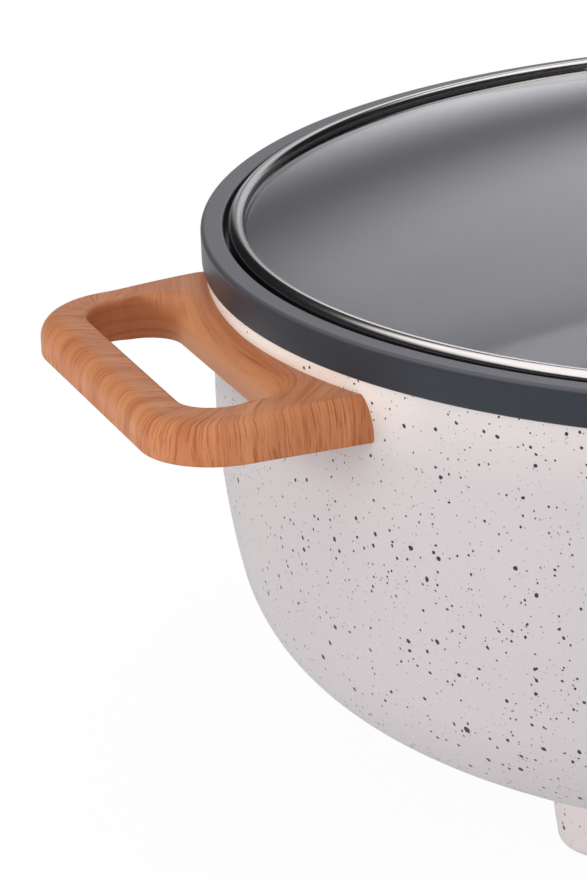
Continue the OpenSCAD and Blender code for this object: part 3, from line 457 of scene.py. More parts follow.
def printed_wood(name, seed):
    """Lines across the bar, lines that follow the rim beside the housing, level ones in the gap, and painted light
    and shade.
    """
    finish = Finish(name, Specular_IOR_Level=WOOD_GLOSS)
    place = finish.place()
    across, inward, wall = (finish.attribute(a) for a in ("grain_across", "grain_in", "grain_wall"))
    x, y, z = (part / MM for part in finish.apart(place))
    lean = across + (inward - LEAN_FROM | 0.0) * LEAN
    colour, depth = wood_grain(finish, lean, inward - z, seed)
    radius = (x * x + y * y) ** 0.5
    past = -y - TURN_Y
    figure = radius - (past + (past * past + TURN_ROUND ** 2) ** 0.5) * (TURN / 2)
    swung = wood_grain(finish, figure * 0.8, y * 0.3, seed + 20.0, FEW_PORES)[0]
    beside = finish.step(inward, *SWUNG_IN) * (1 - finish.step(radius, *SWUNG_R))
    beside = beside | finish.step(inward, *SADDLE_IN)
    level = wood_grain(finish, z * 0.6, (x + y) * 0.3, seed + 40.0, FEW_PORES)[0]
    # In the finger gap the saddle beside the housing is painted lighter and the walls away from it darker: painted
    # light and painted shade
    saddle = finish.step(inward, *PAINTED_LIGHT_IN)
    level = finish.mix(saddle * 0.85, level, WOOD_PAINTED_LIGHT)
    level = finish.mix((1 - saddle) * 0.6, level, WOOD_PORE_AND_SHADE)
    colour = finish.mix(wall * 0.85, finish.mix(beside, colour, swung), level)
    depth = depth * (1 - (beside | wall))
    # Painted shade: the wood is darker where the handle meets the housing
    colour = finish.mix((1 - finish.step(radius, *ROOT_PAINTED_SHADE_R)) * 0.3, colour, WOOD_PORE_AND_SHADE)
    finish.paint(Base_Color=colour, Roughness=WOOD_ROUGH + depth * 0.08 + finish.noise(place, 300.0) * 0.06)
    finish.bump(-depth, GRAIN_DEPTH)
    return finish.material


def straight_wood(name, seed):
    """The same print on a piece without the stored numbers, with its lines along y."""
    finish = Finish(name, Specular_IOR_Level=WOOD_GLOSS)
    x, y, z = (part / MM for part in finish.apart(finish.place()))
    colour, depth = wood_grain(finish, x + z * 0.6, y, seed)
    finish.paint(Base_Color=colour, Roughness=WOOD_ROUGH + depth * 0.08)
    finish.bump(-depth, GRAIN_DEPTH)
    return finish.material


wood_finish = printed_wood("printed_wood", 1.0)
knob_finish = straight_wood("knob_wood", 60.0)
print("wood ready")

# %% [markdown]
# ## Plain finishes
# The pot's coating and the plastics are matte with a fine grain, the steel is polished with faint
# turning marks, and the rest are the everyday metals and insulators of a heater. Each gets a small
# change of colour and roughness over its surface, because nothing moulded or rolled is quite even. The
# rim's top face is painted paler, a painted sheen of the light from above, and the lid's steel is
# painted darker towards the left, a painted reflection of a dark room.

# %% Matte and metal finishes
def grained(name, colour, other, roughness, scale=260.0, depth=0.00002, **constants):
    finish = Finish(name, **constants)
    place = finish.place()
    fine = finish.noise(place, scale * 6, 3.0)
    wide = finish.noise(place, scale / 12, 2.0)
    finish.paint(Base_Color=finish.mix(wide * 0.7 + fine * 0.3, colour, other),
                 Roughness=roughness + (fine - 0.5) * 0.14 + (wide - 0.5) * 0.06)
    finish.bump(fine, depth)
    return finish.material


RIM_Z, LID_R = 149.0, 158.0
# Turning marks per metre, and the lid's painted dark end, a painted reflection of a dark room: its
# colour, and where it comes in as a share of LID_R
MARKS, STEEL_PAINTED_DARK, PAINTED_DARK_FROM = 4000.0, (0.1, 0.1, 0.105, 1), (0.7, 0.99)


def turned_steel(name, colour, roughness, painted_dark=0.0):
    finish = Finish(name, Metallic=1.0)
    place = finish.place()
    x, y, z = finish.apart(place)
    radius = finish.node("ShaderNodeVectorMath", {"operation": "LENGTH"}, {0: finish.joined(x, y)}, 1)
    marks = finish.noise(finish.joined(radius * MARKS, z * MARKS), 1.0)
    cloud = finish.noise(place, 60.0)
    shade = finish.mix(cloud * 0.4, colour, (0.5, 0.5, 0.5, 1))
    # Towards the left the steel is painted darker: a painted reflection of a dark room
    if painted_dark:
        left = (x * -SIDE_X + y * -SIDE_Y) / (LID_R * MM)
        shade = finish.mix(finish.step(left, *PAINTED_DARK_FROM) * painted_dark, shade, STEEL_PAINTED_DARK)
    finish.paint(Base_Color=shade, Roughness=roughness + marks * 0.05 + cloud * 0.03)
    return finish.material


def pot_coating(name):
    finish = Finish(name, Specular_IOR_Level=0.3, Coat_Weight=0.18, Coat_Roughness=0.34)
    place = finish.place()
    fine, wide = finish.noise(place, 1560.0, 3.0), finish.noise(place, 22.0)
    side = finish.mix(wide * 0.7 + fine * 0.3, rgb(47, 53, 60), rgb(43, 49, 56))
    # The rim's top face is painted paler: a painted sheen of the light from above
    top_sheen = finish.step(finish.apart(place)[2], RIM_Z * MM - 0.0011, RIM_Z * MM - 0.0001)
    colour = finish.mix(top_sheen, side, rgb(82, 82, 87))
    finish.paint(Base_Color=colour, Roughness=0.36 + (fine - 0.5) * 0.14 + (wide - 0.5) * 0.06)
    finish.bump(fine, 0.00002)
    return finish.material


coat_finish = pot_coating("pot_coating")
plastic_finish = grained("control_plastic", rgb(66, 69, 74), rgb(58, 60, 65), 0.5, 180.0, 0.00004)
steel_finish = turned_steel("polished_steel", (0.82, 0.78, 0.73, 1), 0.15, 0.6)
screw_finish = turned_steel("screw_steel", (0.62, 0.62, 0.63, 1), 0.28)
rubber_finish = grained("rubber", rgb(46, 46, 48), rgb(36, 36, 38), 0.75)
silicone_finish = grained("silicone", rgb(52, 53, 57), rgb(44, 45, 48), 0.6)
pointer_finish = grained("pointer", rgb(232, 229, 224), rgb(222, 219, 214), 0.45)
aluminium_finish = grained("cast_aluminium", (0.62, 0.62, 0.63, 1), (0.5, 0.5, 0.51, 1), 0.42, Metallic=1.0)
tube_finish = grained("heater_tube", (0.2, 0.2, 0.22, 1), (0.14, 0.13, 0.14, 1), 0.4, Metallic=1.0)
shield_finish = grained("shield_steel", (0.66, 0.67, 0.68, 1), (0.56, 0.57, 0.58, 1), 0.3, 90.0, Metallic=1.0)
insulator_finish = grained("insulator", rgb(226, 221, 208), rgb(212, 206, 192), 0.6)
thermostat_finish = grained("thermostat_body", rgb(120, 84, 56), rgb(104, 72, 48), 0.5)
brass_finish = grained("brass", (0.75, 0.56, 0.27, 1), (0.66, 0.47, 0.22, 1), 0.25, Metallic=1.0)
lead_finish = grained("lead_sleeve", rgb(52, 50, 50), rgb(40, 38, 38), 0.55)

glass_finish = Finish("lid_glass", Base_Color=(0.95, 0.95, 0.96, 1), Roughness=0.0, IOR=1.5,
                      Transmission_Weight=1.0).material
lens_finish = Finish("lamp_lens", Base_Color=rgb(190, 40, 22), Roughness=0.15, IOR=1.5,
                     Transmission_Weight=0.6).material
lamp_finish = Finish("lamp", Base_Color=rgb(250, 190, 120), Roughness=0.3).material
print("plain finishes ready")

# %% [markdown]
# ## A lathe made of Geometry Nodes
# Most of a cooker is turned: housing, pot, glass, steel rim, feet and knob are each one outline spun
# round an axis. The tree lays a grid with one row per outline point and one column per step, bends each
# column round the axis, and closes the seam. Changing an outline or the steps needs no new modelling.

# %% Lathe
WELD = 2e-6


def lathe_tree():
    tree = bpy.data.node_groups.new("lathe", "GeometryNodeTree")
    for name, kind in (("Outline", "Geometry"), ("Steps", "Int"), ("Finish", "Material")):
        tree.interface.new_socket(name, in_out="INPUT", socket_type="NodeSocket" + kind)
    tree.interface.new_socket("Form", in_out="OUTPUT", socket_type="NodeSocketGeometry")
    graph = Graph(tree)
    given = tree.nodes.new("NodeGroupInput")
    outline, steps, finish = (Value(tree, given.outputs[i]) for i in range(3))
    rows = graph.node("GeometryNodeAttributeDomainSize", {"component": "MESH"}, {0: outline})
    grid = graph.node("GeometryNodeMeshGrid", None, {"Vertices X": steps + 1, "Vertices Y": rows})
    index = graph.node("GeometryNodeInputIndex")
    column = index.math("FLOOR", index / rows)
    point = graph.node("GeometryNodeSampleIndex", {"data_type": "FLOAT_VECTOR"},
                       {"Geometry": outline, "Value": graph.node("GeometryNodeInputPosition"),
                        "Index": index - column * rows})
    radius, _, height = graph.apart(point)
    angle = column * (2 * math.pi) / steps
    spun = graph.joined(radius * angle.math("COSINE", angle), radius * angle.math("SINE", angle), height)
    form = graph.node("GeometryNodeSetPosition", None, {"Geometry": grid, "Position": spun})
    form = graph.node("GeometryNodeMergeByDistance", None, {"Geometry": form, "Distance": WELD})
    form = graph.node("GeometryNodeSetShadeSmooth", None, {0: form})
    form = graph.node("GeometryNodeSetMaterial", None, {"Geometry": form, "Material": finish})
    form = graph.node("GeometryNodeRealizeInstances", None, {"Geometry": form})
    graph.feed(tree.nodes.new("NodeGroupOutput").inputs[0], form)
    return tree


LATHE = lathe_tree()
SHARP = math.radians(28)
# Steps round the large pieces, and round the small ones
FINE, SMALL = 320, 96


def plain(piece):
    """The mesh that the piece's modifiers make, with the modifiers gone."""
    ready = piece.evaluated_get(bpy.context.evaluated_depsgraph_get())
    made = bpy.data.meshes.new_from_object(ready)
    piece.modifiers.clear()
    piece.data = made
    made.name = piece.name
    return piece


def grown(name, tree, mesh, **inputs):
    """A piece that a tree grows from a mesh."""
    piece = bpy.data.objects.new(name, mesh)
    scene.collection.objects.link(piece)
    modifier = piece.modifiers.new(tree.name, "NODES")
    modifier.node_group = tree
    for item in tree.interface.items_tree:
        if item.in_out == "INPUT" and item.name in inputs:
            modifier[item.identifier] = inputs[item.name]
    return plain(piece)


def turned(name, outline, finish, steps, centre=(0.0, 0.0)):
    """A piece turned from an outline of radii and heights in millimetres, counter-clockwise."""
    mesh = bpy.data.meshes.new(name)
    mesh.from_pydata([(r * MM, 0, z * MM) for r, z in outline], [], [])
    piece = grown(name, LATHE, mesh, Steps=steps, Finish=finish)
    piece.data.transform(Matrix.Translation((centre[0] * MM, centre[1] * MM, 0)))
    piece.data.set_sharp_from_angle(angle=SHARP)
    return piece


def seat(piece, body, slot, *stands_for):
    """Hands a finished piece to its body, in place of the CAD nodes that it stands for."""
    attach(piece, body)
    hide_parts(*stands_for)
    print(piece.name, len(piece.data.polygons), "faces on", body)


def arc(centre, radius, start, end, step=2.0, tall=None):
    """Points along an arc, or a quarter ellipse if tall is given, with angles in degrees."""
    count = max(2, math.ceil(abs(end - start) / step))
    turns = [math.radians(start + (end - start) * i / count) for i in range(count + 1)]
    return [(centre[0] + radius * math.cos(t), centre[1] + (tall or radius) * math.sin(t)) for t in turns]


print("lathe ready")

# %% [markdown]
# ## Holes
# A drilled hole is a rod taken away. All the rods for one piece go into one cutting mesh, so that the
# Boolean runs once.

# %% Rods and cuts
def rods(*ends):
    """One mesh of closed rods, each given as start, end and radius in millimetres."""
    form = bmesh.new()
    for start, end, radius in ends:
        start, end = Vector(start) * MM, Vector(end) * MM
        turn = (end - start).to_track_quat("Z", "Y").to_matrix().to_4x4()
        bmesh.ops.create_cone(form, cap_ends=True, segments=64, radius1=radius * MM, radius2=radius * MM,
                              depth=(end - start).length, matrix=Matrix.Translation((start + end) / 2) @ turn)
    return form


def cut(piece, form):
    """Takes the form away from the piece."""
    mesh = bpy.data.meshes.new("cutter")
    form.to_mesh(mesh)
    form.free()
    cutter = bpy.data.objects.new("cutter", mesh)
    scene.collection.objects.link(cutter)
    modifier = piece.modifiers.new("cut", "BOOLEAN")
    modifier.operation = "DIFFERENCE"
    modifier.object = cutter
    plain(piece)
    bpy.data.objects.remove(cutter)
    piece.data.polygons.foreach_set("use_smooth", [True] * len(piece.data.polygons))
    piece.data.set_sharp_from_angle(angle=SHARP)
    return piece


print("cutting ready")

# %% [markdown]
# ## The housing
# One sheet about two millimetres thick: a wall that leans a little, a long curve, a tight corner and a
# sloping underside, with a flange inside for the base cover. Its outline is the CAD's own rule drawn
# with finer steps, so the corner shades without bands. Control and inlet need a port each.

# %% Housing
SHELL_R, SHELL_TOP_R, SHELL_TOP_Z, WALL = 163.5, 162.6, 139.8, 2.2
FLOOR_GAP, FLAT_R, SLOPE = 9.5, 82.3, 20.0
BELLY_R, BELLY_TURN, CORNER_R, SEAM_R = 220.0, 12.0, 42.0, 124.0
FLARE, FLARE_H = 1.9, 15.0
tilt, lean = math.radians(SLOPE), math.radians(BELLY_TURN)


def slope_z(r, inside=0.0):
    return FLOOR_GAP + (r - FLAT_R) * math.tan(tilt) + inside / math.cos(tilt)


CORNER_X = SHELL_R - BELLY_R + (BELLY_R - CORNER_R) * math.cos(lean)
CORNER_Z = slope_z(CORNER_X + CORNER_R * math.sin(tilt)) + CORNER_R * math.cos(tilt)
BELLY_Z = CORNER_Z + (BELLY_R - CORNER_R) * math.sin(lean)


def wall_r(z):
    return SHELL_TOP_R + (SHELL_R - SHELL_TOP_R) * (SHELL_TOP_Z - z) / (SHELL_TOP_Z - BELLY_Z)


def flare(z):
    """How far the top edge turns out to meet the pot's rim."""
    t = max(0.0, (z - SHELL_TOP_Z + FLARE_H) / FLARE_H)
    return FLARE * t * t * (3 - 2 * t)


def skin(inside):
    """The housing's outline from the underside's slope up to its top edge."""
    return (arc((CORNER_X, CORNER_Z), CORNER_R - inside, SLOPE - 90, -BELLY_TURN, 1.5)
            + arc((SHELL_R - BELLY_R, BELLY_Z), BELLY_R - inside, -BELLY_TURN, 0, 0.8)[1:]
            + [(wall_r(z) + flare(z) - inside, z) for z in np.linspace(BELLY_Z + 2, SHELL_TOP_Z, 24)])


def polar(r, degrees):
    return r * math.cos(math.radians(degrees)), r * math.sin(math.radians(degrees))


FEET = {"front_left": 207.7, "front_right": 332.3, "back": 90.0}
FOOT_PLACE_R = 95.5
LAP_W, LAP_ROOT, LAP_UNDER = 18.0, 4.0, WALL + 0.3
LAP_OVER = LAP_UNDER + WALL
flange = [(SEAM_R + LAP_ROOT, slope_z(SEAM_R + LAP_ROOT, WALL)),
          (SEAM_R + LAP_ROOT, slope_z(SEAM_R + LAP_ROOT, LAP_OVER)),
          (SEAM_R - LAP_W, slope_z(SEAM_R - LAP_W, LAP_OVER)),
          (SEAM_R - LAP_W, slope_z(SEAM_R - LAP_W, LAP_UNDER)),
          (SEAM_R, slope_z(SEAM_R, LAP_UNDER)), (SEAM_R, slope_z(SEAM_R))]
outline = flange[-1:] + skin(0) + skin(WALL)[::-1] + flange
housing = turned("housing", outline, housing_finish, FINE)
DIAL_Z, INLET_Z, POD_SCREW, INLET_SCREW = 89.0, 83.0, 28.0, 19.2
DIAL_PORT_R, INLET_PORT_R, FOOT_PORT_R, SCREW_R = 24.0, 16.0, 4.8, 1.65
FRONT, BACK = -1, 1


def port(side, z, radius):
    """A rod through the housing's wall, at the front or at the back."""
    return (0, side * 100, z), (0, side * 180, z), radius


holes = [port(FRONT, DIAL_Z, DIAL_PORT_R), port(BACK, INLET_Z, INLET_PORT_R)]
for s in (-1, 1):
    holes.append(port(FRONT, DIAL_Z + s * POD_SCREW, SCREW_R))
    holes.append(port(BACK, INLET_Z + s * INLET_SCREW, SCREW_R))
for angle in FEET.values():
    x, y = polar(FOOT_PLACE_R, angle)
    holes.append(((x, y, 5), (x, y, 27), FOOT_PORT_R))
cut(housing, rods(*holes))
seat(housing, "base", "speckled_housing", "outer_shell")

# %% [markdown]
# ## The pot and its wide rim
# The pot is spun aluminium with a dark coating. Its thick rim rests on the housing's top edge, and a
# ledge inside the rim carries the lid. Small rounds on the rim's edges catch the light as moulded ones do.

# %% Pot
RIM_R, RIM_FACE, LEDGE_Z, HOLD = 165.3, 6.0, 143.0, 0.3
POT_TOP_R, POT_WALL, POT_FLOOR, POT_UNDER, POT_CORNER, DRAFT = 155.5, 2.8, 3.2, 57.0, 28.0, 5.0
draft = math.radians(DRAFT)
pot_x = POT_TOP_R - math.tan(draft) * (SHELL_TOP_Z - POT_UNDER - POT_CORNER) - POT_CORNER / math.cos(draft)
pot_z = POT_UNDER + POT_CORNER


def pot_skin(inside, floor, z):
    """The pot's outline from its axis out along the floor and up to height z."""
    side = POT_TOP_R - inside / math.cos(draft) - math.tan(draft) * (SHELL_TOP_Z - z)
    return [(0, POT_UNDER + floor)] + arc((pot_x, pot_z), POT_CORNER - inside, -90, -DRAFT) + [(side, z)]


STEP_R, EDGE_OUT, EDGE_IN, EDGE_LOW = RIM_R - RIM_FACE, 1.3, 0.8, 0.6
# A point close to each end of the rounded edges keeps the flat faces' shading flat
outline = (pot_skin(0, 0, SHELL_TOP_Z) + arc((RIM_R - EDGE_LOW, SHELL_TOP_Z + EDGE_LOW), EDGE_LOW, -90, 0, 10)
           + [(RIM_R, SHELL_TOP_Z + EDGE_LOW + HOLD), (RIM_R, RIM_Z - EDGE_OUT - HOLD)]
           + arc((RIM_R - EDGE_OUT, RIM_Z - EDGE_OUT), EDGE_OUT, 0, 90, 6)
           + [(RIM_R - EDGE_OUT - HOLD, RIM_Z), (STEP_R + EDGE_IN + HOLD, RIM_Z)]
           + arc((STEP_R + EDGE_IN, RIM_Z - EDGE_IN), EDGE_IN, 90, 180, 9)
           + [(STEP_R, LEDGE_Z)] + pot_skin(POT_WALL, POT_FLOOR, LEDGE_Z)[::-1])
seat(turned("pot", outline, coat_finish, FINE), "pot", "coated_pot", "inner_pot")

# %% [markdown]
# ## The lid
# Toughened glass slumped into a shallow dome, with a steel band rolled over its edge. The band is a
# full round outside, a narrow flat on top and a smaller round down to the glass: they catch the room as
# a wide bright band, a dark line and a thin bright line. A thin dark strip lies on the glass at the band's foot.

# %% Lid
GLASS_R, GLASS_TOP, GLASS_T, DOME_R, DOME_H = 157.0, 149.2, 4.0, 151.5, 16.0
dome_curve = (DOME_R ** 2 + DOME_H ** 2) / (2 * DOME_H)
dome_z = GLASS_TOP + DOME_H - dome_curve
half = math.degrees(math.asin(GLASS_R / dome_curve))
HOLE_R, VENT_R, VENT_PLACE_R = 4.0, 4.65, 95.0
first = math.degrees(math.asin(HOLE_R / dome_curve))
outer = arc((0, dome_z), dome_curve, 90 - half, 90 - first, 0.12)
inner = arc((0, dome_z), dome_curve - GLASS_T, 90 - first, 90 - half, 0.12)
outline = inner + outer + inner[:1]
lid = turned("glass", outline, glass_finish, FINE)
vent = math.asin(VENT_PLACE_R / dome_curve)
square = Vector((math.sin(vent) * math.sqrt(0.5), math.sin(vent) * math.sqrt(0.5), math.cos(vent)))
crown = Vector((0, 0, dome_z))
cut(lid, rods((crown + square * (dome_curve - 10), crown + square * (dome_curve + 5), VENT_R)))
seat(lid, "lid", "lid_glass", "lid_glass")

TOP_Z, SLOT_R, SLOT_TOP, SLOT_LOW, LOW_LIP_R = 150.75, 157.4, 148.7, 143.8, 154.2
# Radius of each curve of the bead and the slopes where it starts and ends, from the side to the inside
BEAD = ((1.2, 0, 34), (3.1, 34, 70), (1.9, 70, 90), (1.4, 90, 175))
place = Vector((LID_R, TOP_Z))
for r, start, end in BEAD[:3]:
    place.y -= r * (math.sin(math.radians(end)) - math.sin(math.radians(start)))
bead = [tuple(place)]
for r, start, end in BEAD:
    centre = place - r * Vector((math.cos(math.radians(start)), math.sin(math.radians(start))))
    bead += arc(centre, r, start, end, 4)[1:]
    place = Vector(bead[-1])
outline = ([(LOW_LIP_R, SLOT_LOW), (LOW_LIP_R, LEDGE_Z), (LID_R, LEDGE_Z)] + bead
           + [(bead[-1][0], SLOT_TOP), (SLOT_R, SLOT_TOP), (SLOT_R, SLOT_LOW), (LOW_LIP_R, SLOT_LOW)])
seat(turned("steel_rim", outline, steel_finish, FINE), "lid", "polished_steel", "lid_rim")
# A thin dark strip on the glass at the foot of the band darkens the gap there
STRIP_R, STRIP_W, STRIP_H = bead[-1][0], 0.5, 0.45
dark_strip = [(STRIP_R - STRIP_W, SLOT_TOP), (STRIP_R, SLOT_TOP - 0.1), (STRIP_R, SLOT_TOP + STRIP_H)]
seat(turned("lid_dark_strip", dark_strip + arc((STRIP_R, SLOT_TOP), STRIP_W, 90, 180, 15, STRIP_H), silicone_finish, FINE),
     "lid", "silicone")

# %% [markdown]
# ## Feet
# Each foot is a turned stub, cut to the slope of the underside, with a pocket for its pad and screw.

# %% Feet
FOOT_R, FOOT_TAPER, FOOT_ROUND, PAD_R, PAD_TOP, PROUD = 15.0, 0.12, 3.0, 10.65, 3.0, 1.0
HEAD_R, HEAD_Z = 3.5, 6.0
TOP = slope_z(FOOT_PLACE_R + FOOT_R + 5) + 5
edge = (FOOT_R - FOOT_ROUND + FOOT_TAPER * (PROUD + FOOT_ROUND), PROUD + FOOT_ROUND)
stub = ([(SCREW_R, TOP), (SCREW_R, HEAD_Z), (HEAD_R, HEAD_Z), (HEAD_R, PAD_TOP), (PAD_R, PAD_TOP), (PAD_R, PROUD)]
        + arc(edge, FOOT_ROUND, -90, 0, 6) + [(FOOT_R + FOOT_TAPER * TOP, TOP), (SCREW_R, TOP)])
# What is taken off the stubs: all that is above the underside, less a hair's clearance
CLEAR, CORE_R, CORE_TOP = 0.1, SEAM_R + 6, 60
core = [(0, FLOOR_GAP - CLEAR), (FLAT_R, FLOOR_GAP - CLEAR), (CORE_R, slope_z(CORE_R, -CLEAR)),
        (CORE_R, CORE_TOP), (0, CORE_TOP)]
for name, angle in FEET.items():
    foot = turned("foot_" + name + "_form", stub, foot_finish, SMALL, polar(FOOT_PLACE_R, angle))
    above = turned("above", core, foot_finish, FINE)
    form = bmesh.new()
    form.from_mesh(above.data)
    bpy.data.objects.remove(above)
    seat(cut(foot, form), "base", "speckled_housing", "foot_" + name)

# %% [markdown]
# ## Handles
# A handle is a loop: its section travels round the finger gap, wide and soft beside the housing, narrow
# along the bar, with a crisp edge towards the fingers and a full round one outside. It is cut to the
# housing's wall. Each vertex then stores where it is along the loop and how far in from the outside,
# which is all that the wood print and its painted light and shade need to know.

# %% Handles
REACH, HALF_W, LOW_Z, THICK, RISE = 205.0, 59.0, 124.0, 10.3, 1.7
BAR, ARM, GAP, ROOT = 11.5, 13.8, 23.9, 30.0
TUCK, OUT = 1.2, 41.5
OUT_R, GAP_R, ROOT_R = 21.0, 10.5, 5.0
ROUND_OUT, ROUND_SADDLE, ROUND_GRIP, ROUND_UNDER = 5.5, 7.0, 1.6, 1.1
SHARE_IN, SHARE_OUT = 0.36, 0.45
ROLL, ROLL_FROM, ROLL_TO = 0.5, 163.0, 168.5
TOP_STEPS = 16
# Distances from the finger gap within which its own lines are drawn in full, and beyond which not at all
GAP_FULL, GAP_NONE = 0.3, 1.8


def loop(u0, u1, w, r0, r1, corner=18, side=14):
    """A rounded rectangle from u0 to u1 and -w to w, with points along its sides too."""
    corners = [((u1 - r1, -w + r1), r1, -90), ((u1 - r1, w - r1), r1, 0),
               ((u0 + r0, w - r0), r0, 90), ((u0 + r0, -w + r0), r0, 180)]
    points = []
    for i, (centre, r, start) in enumerate(corners):
        points += arc(centre, r, start, start + 90, 90 / corner)
        last = np.array(points[-1])
        centre, r, start = corners[(i + 1) % 4]
        first = np.array(arc(centre, r, start, start + 90)[0])
        points += [tuple(last + (first - last) * k / side) for k in range(1, side)]
    return np.array(points)


def section(w, gap_round):
    """Distances from the gap and heights round the handle's section."""
    i, o, f = min(gap_round, SHARE_IN * w), min(ROUND_OUT, SHARE_OUT * w), ROUND_UNDER
    top = LOW_Z + THICK
    flat = [(i + (w - o - i) * k / TOP_STEPS, top) for k in range(1, TOP_STEPS)]
    corners = (arc((f, LOW_Z + f), f, 270, 180, 15) + arc((i, top - i), i, 180, 90, 11.25) + flat
               + arc((w - o, top - o), o, 90, 0, 11.25) + arc((w - f, LOW_Z + f), f, 0, -90, 15))
    return np.array(corners)


def handle_mesh(name):
    gap_from = REACH - BAR - GAP
    outside = loop(gap_from - ROOT, REACH, HALF_W, ROOT_R, OUT_R)
    outside[:, 1] *= 1 - TUCK / HALF_W * (REACH - outside[:, 0]) / OUT
    inside = loop(gap_from, REACH - BAR, HALF_W - ARM, GAP_R, GAP_R)
    rings = []
    for a, b in zip(inside, outside):
        w = np.linalg.norm(b - a)
        away = min((a[0] - gap_from) / GAP_R, 1.0)
        s = section(w, ROUND_SADDLE + (ROUND_GRIP - ROUND_SADDLE) * away)
        flat = a + (b - a) / w * s[:, :1]
        near = np.clip((ROLL_TO - np.hypot(flat[:, 0], flat[:, 1])) / (ROLL_TO - ROLL_FROM), 0, 1)
        lift = RISE * (REACH - flat[:, 0]) / OUT - ROLL * near ** 2
        rings.append(np.column_stack((flat, s[:, 1] + lift * (s[:, 1] - LOW_Z) / THICK)))
    m, count = len(rings[0]), len(rings)
    faces = [(i * m + k, (i + 1) % count * m + k, (i + 1) % count * m + (k + 1) % m, i * m + (k + 1) % m)
             for i in range(count) for k in range(m)]
    mesh = bpy.data.meshes.new(name)
    mesh.from_pydata((np.concatenate(rings) * MM).tolist(), [], faces)
    return mesh, outside, inside


def along_loop(flat, points):
    """For each place, how far along the loop its nearest point is, and how far away, in millimetres."""
    ends = np.roll(points, -1, axis=0)
    run = ends - points
    length = np.linalg.norm(run, axis=1)
    start = np.concatenate(([0.0], np.cumsum(length)[:-1]))
    share = np.clip(((flat[:, None] - points) * run).sum(2) / length ** 2, 0, 1)
    gaps = np.linalg.norm(flat[:, None] - points - share[..., None] * run, axis=2)
    best = gaps.argmin(1)
    rows = np.arange(len(flat))
    return start[best] + share[rows, best] * length[best], gaps[rows, best]


def grain(mesh, outside, inside, side):
    """Stores the place along the loop, the distance in from the outside and the nearness of the gap."""
    places = np.empty(len(mesh.vertices) * 3)
    mesh.vertices.foreach_get("co", places)
    flat = places.reshape(-1, 3)[:, :2] / MM * (side, 1.0)
    root = np.hypot(outside[:, 0] - outside[:, 0].min(), outside[:, 1]).argmin()
    across, inward = along_loop(flat, np.roll(outside, -root, axis=0))
    wall = np.clip((GAP_NONE - along_loop(flat, inside)[1]) / (GAP_NONE - GAP_FULL), 0, 1)
    for name, values in (("grain_across", across), ("grain_in", inward), ("grain_wall", wall)):
        mesh.attributes.new(name, "FLOAT", "POINT").data.foreach_set("value", values.astype(np.float32))


def handle(name, side):
    mesh, outside, inside = handle_mesh(name)
    mesh.transform(Matrix.Diagonal((side, 1, 1, 1)))
    if side > 0:
        mesh.flip_normals()
    piece = bpy.data.objects.new(name, mesh)
    scene.collection.objects.link(piece)
    form = bmesh.new()
    low, high = LOW_Z - 15, SHELL_TOP_Z
    bmesh.ops.create_cone(form, cap_ends=True, segments=FINE, radius1=(wall_r(low) + CLEAR) * MM,
                          radius2=(wall_r(high) + CLEAR) * MM, depth=(high - low) * MM,
                          matrix=Matrix.Translation((0, 0, (low + high) / 2 * MM)))
    cut(piece, form)
    grain(piece.data, outside, inside, side)
    piece.data.materials.clear()
    piece.data.materials.append(wood_finish)
    return piece


for name, side in (("left", -1), ("right", 1)):
    piece = handle(name + "_handle_form", side)
    seat(piece, "base", "wood_look", name + "_handle")

# %% [markdown]
# ## The sensor's spring
# The sensor under the pot stands on a coil of wire: a circle carried along a spiral, which is what Curve
# to Mesh does.

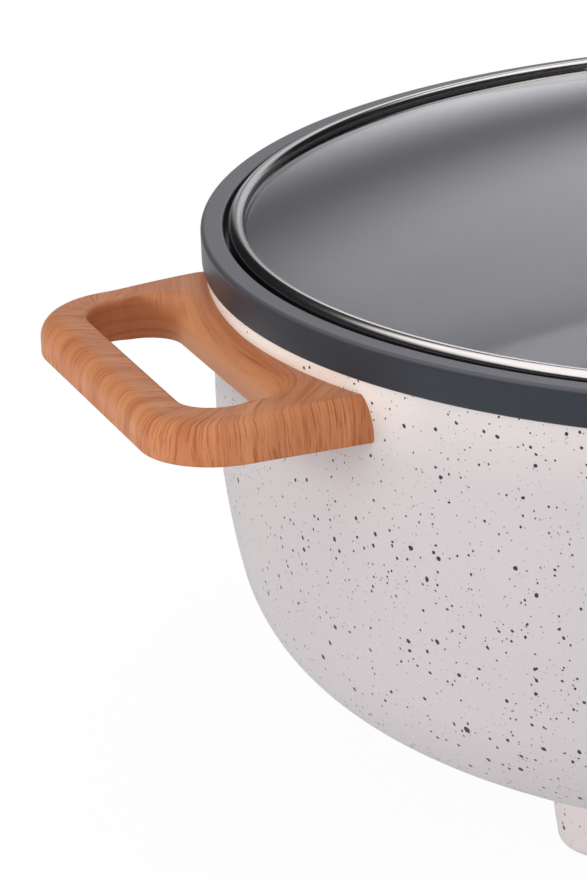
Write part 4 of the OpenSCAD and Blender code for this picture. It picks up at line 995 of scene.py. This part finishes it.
# %% Spring
def coil_tree():
    tree = bpy.data.node_groups.new("coil", "GeometryNodeTree")
    for name in ("Radius", "Wire", "Turns", "Height"):
        tree.interface.new_socket(name, in_out="INPUT", socket_type="NodeSocketFloat")
    tree.interface.new_socket("Finish", in_out="INPUT", socket_type="NodeSocketMaterial")
    tree.interface.new_socket("Form", in_out="OUTPUT", socket_type="NodeSocketGeometry")
    graph = Graph(tree)
    given = tree.nodes.new("NodeGroupInput")
    radius, wire, turns, height, finish = (Value(tree, given.outputs[i]) for i in range(5))
    spiral = {"Resolution": 48, "Rotations": turns, "Start Radius": radius, "End Radius": radius, "Height": height}
    path = graph.node("GeometryNodeCurveSpiral", None, spiral)
    ring = graph.node("GeometryNodeCurvePrimitiveCircle", None, {"Resolution": 12, "Radius": wire})
    form = graph.node("GeometryNodeCurveToMesh", None, {"Curve": path, "Profile Curve": ring, "Fill Caps": True})
    form = graph.node("GeometryNodeSetShadeSmooth", None, {0: form})
    form = graph.node("GeometryNodeSetMaterial", None, {"Geometry": form, "Material": finish})
    form = graph.node("GeometryNodeRealizeInstances", None, {"Geometry": form})
    graph.feed(tree.nodes.new("NodeGroupOutput").inputs[0], form)
    return tree


WIRE_R, TURNS, PRESS = 0.6 * MM, 4.0, 3.0 * MM
spring_low, spring_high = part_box("sensor_spring")
tall = spring_high.z - spring_low.z
coil_r = (spring_high.x - spring_low.x) / 2 - WIRE_R
spring = grown("spring", coil_tree(), bpy.data.meshes.new("spring"), Radius=coil_r, Wire=WIRE_R, Turns=TURNS,
               Height=tall - 2 * WIRE_R, Finish=screw_finish)
spring.data.transform(Matrix.Translation((0, 0, spring_low.z + WIRE_R)))
spring.data.set_sharp_from_angle(angle=SHARP)
seat(spring, "base", "screw_steel", "sensor_spring")
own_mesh(spring)

# %% [markdown]
# ## Finishes for the rest
# The other pieces keep their CAD meshes, which are fine enough where they are. The record names a
# material for each, and the table below turns that name into one of the finishes made above.

# %% Finishes on the CAD nodes
FINISHES = {
    "speckled_housing": housing_finish, "wood_look": wood_finish, "coated_pot": coat_finish,
    "lid_glass": glass_finish, "polished_steel": steel_finish, "screw_steel": screw_finish,
    "rubber": rubber_finish, "silicone": silicone_finish, "control_plastic": plastic_finish,
    "pointer": pointer_finish, "lamp_lens": lens_finish, "lamp": lamp_finish,
    "heater_aluminium": aluminium_finish, "heater_tube": tube_finish, "shield": shield_finish,
    "insulator": insulator_finish, "thermostat_body": thermostat_finish, "brass": brass_finish,
    "lead": lead_finish}
for part in frame["record"]["subparts"]:
    name = part["node"]
    mesh = nodes[name].data
    mesh.materials.clear()
    is_foot = name.startswith("foot_") and name != "foot_screws"
    own = foot_finish if is_foot else knob_finish if name == "lid_knob" else None
    mesh.materials.append(own or FINISHES[part["material_slot"]])
print("finishes on", len(nodes), "nodes")
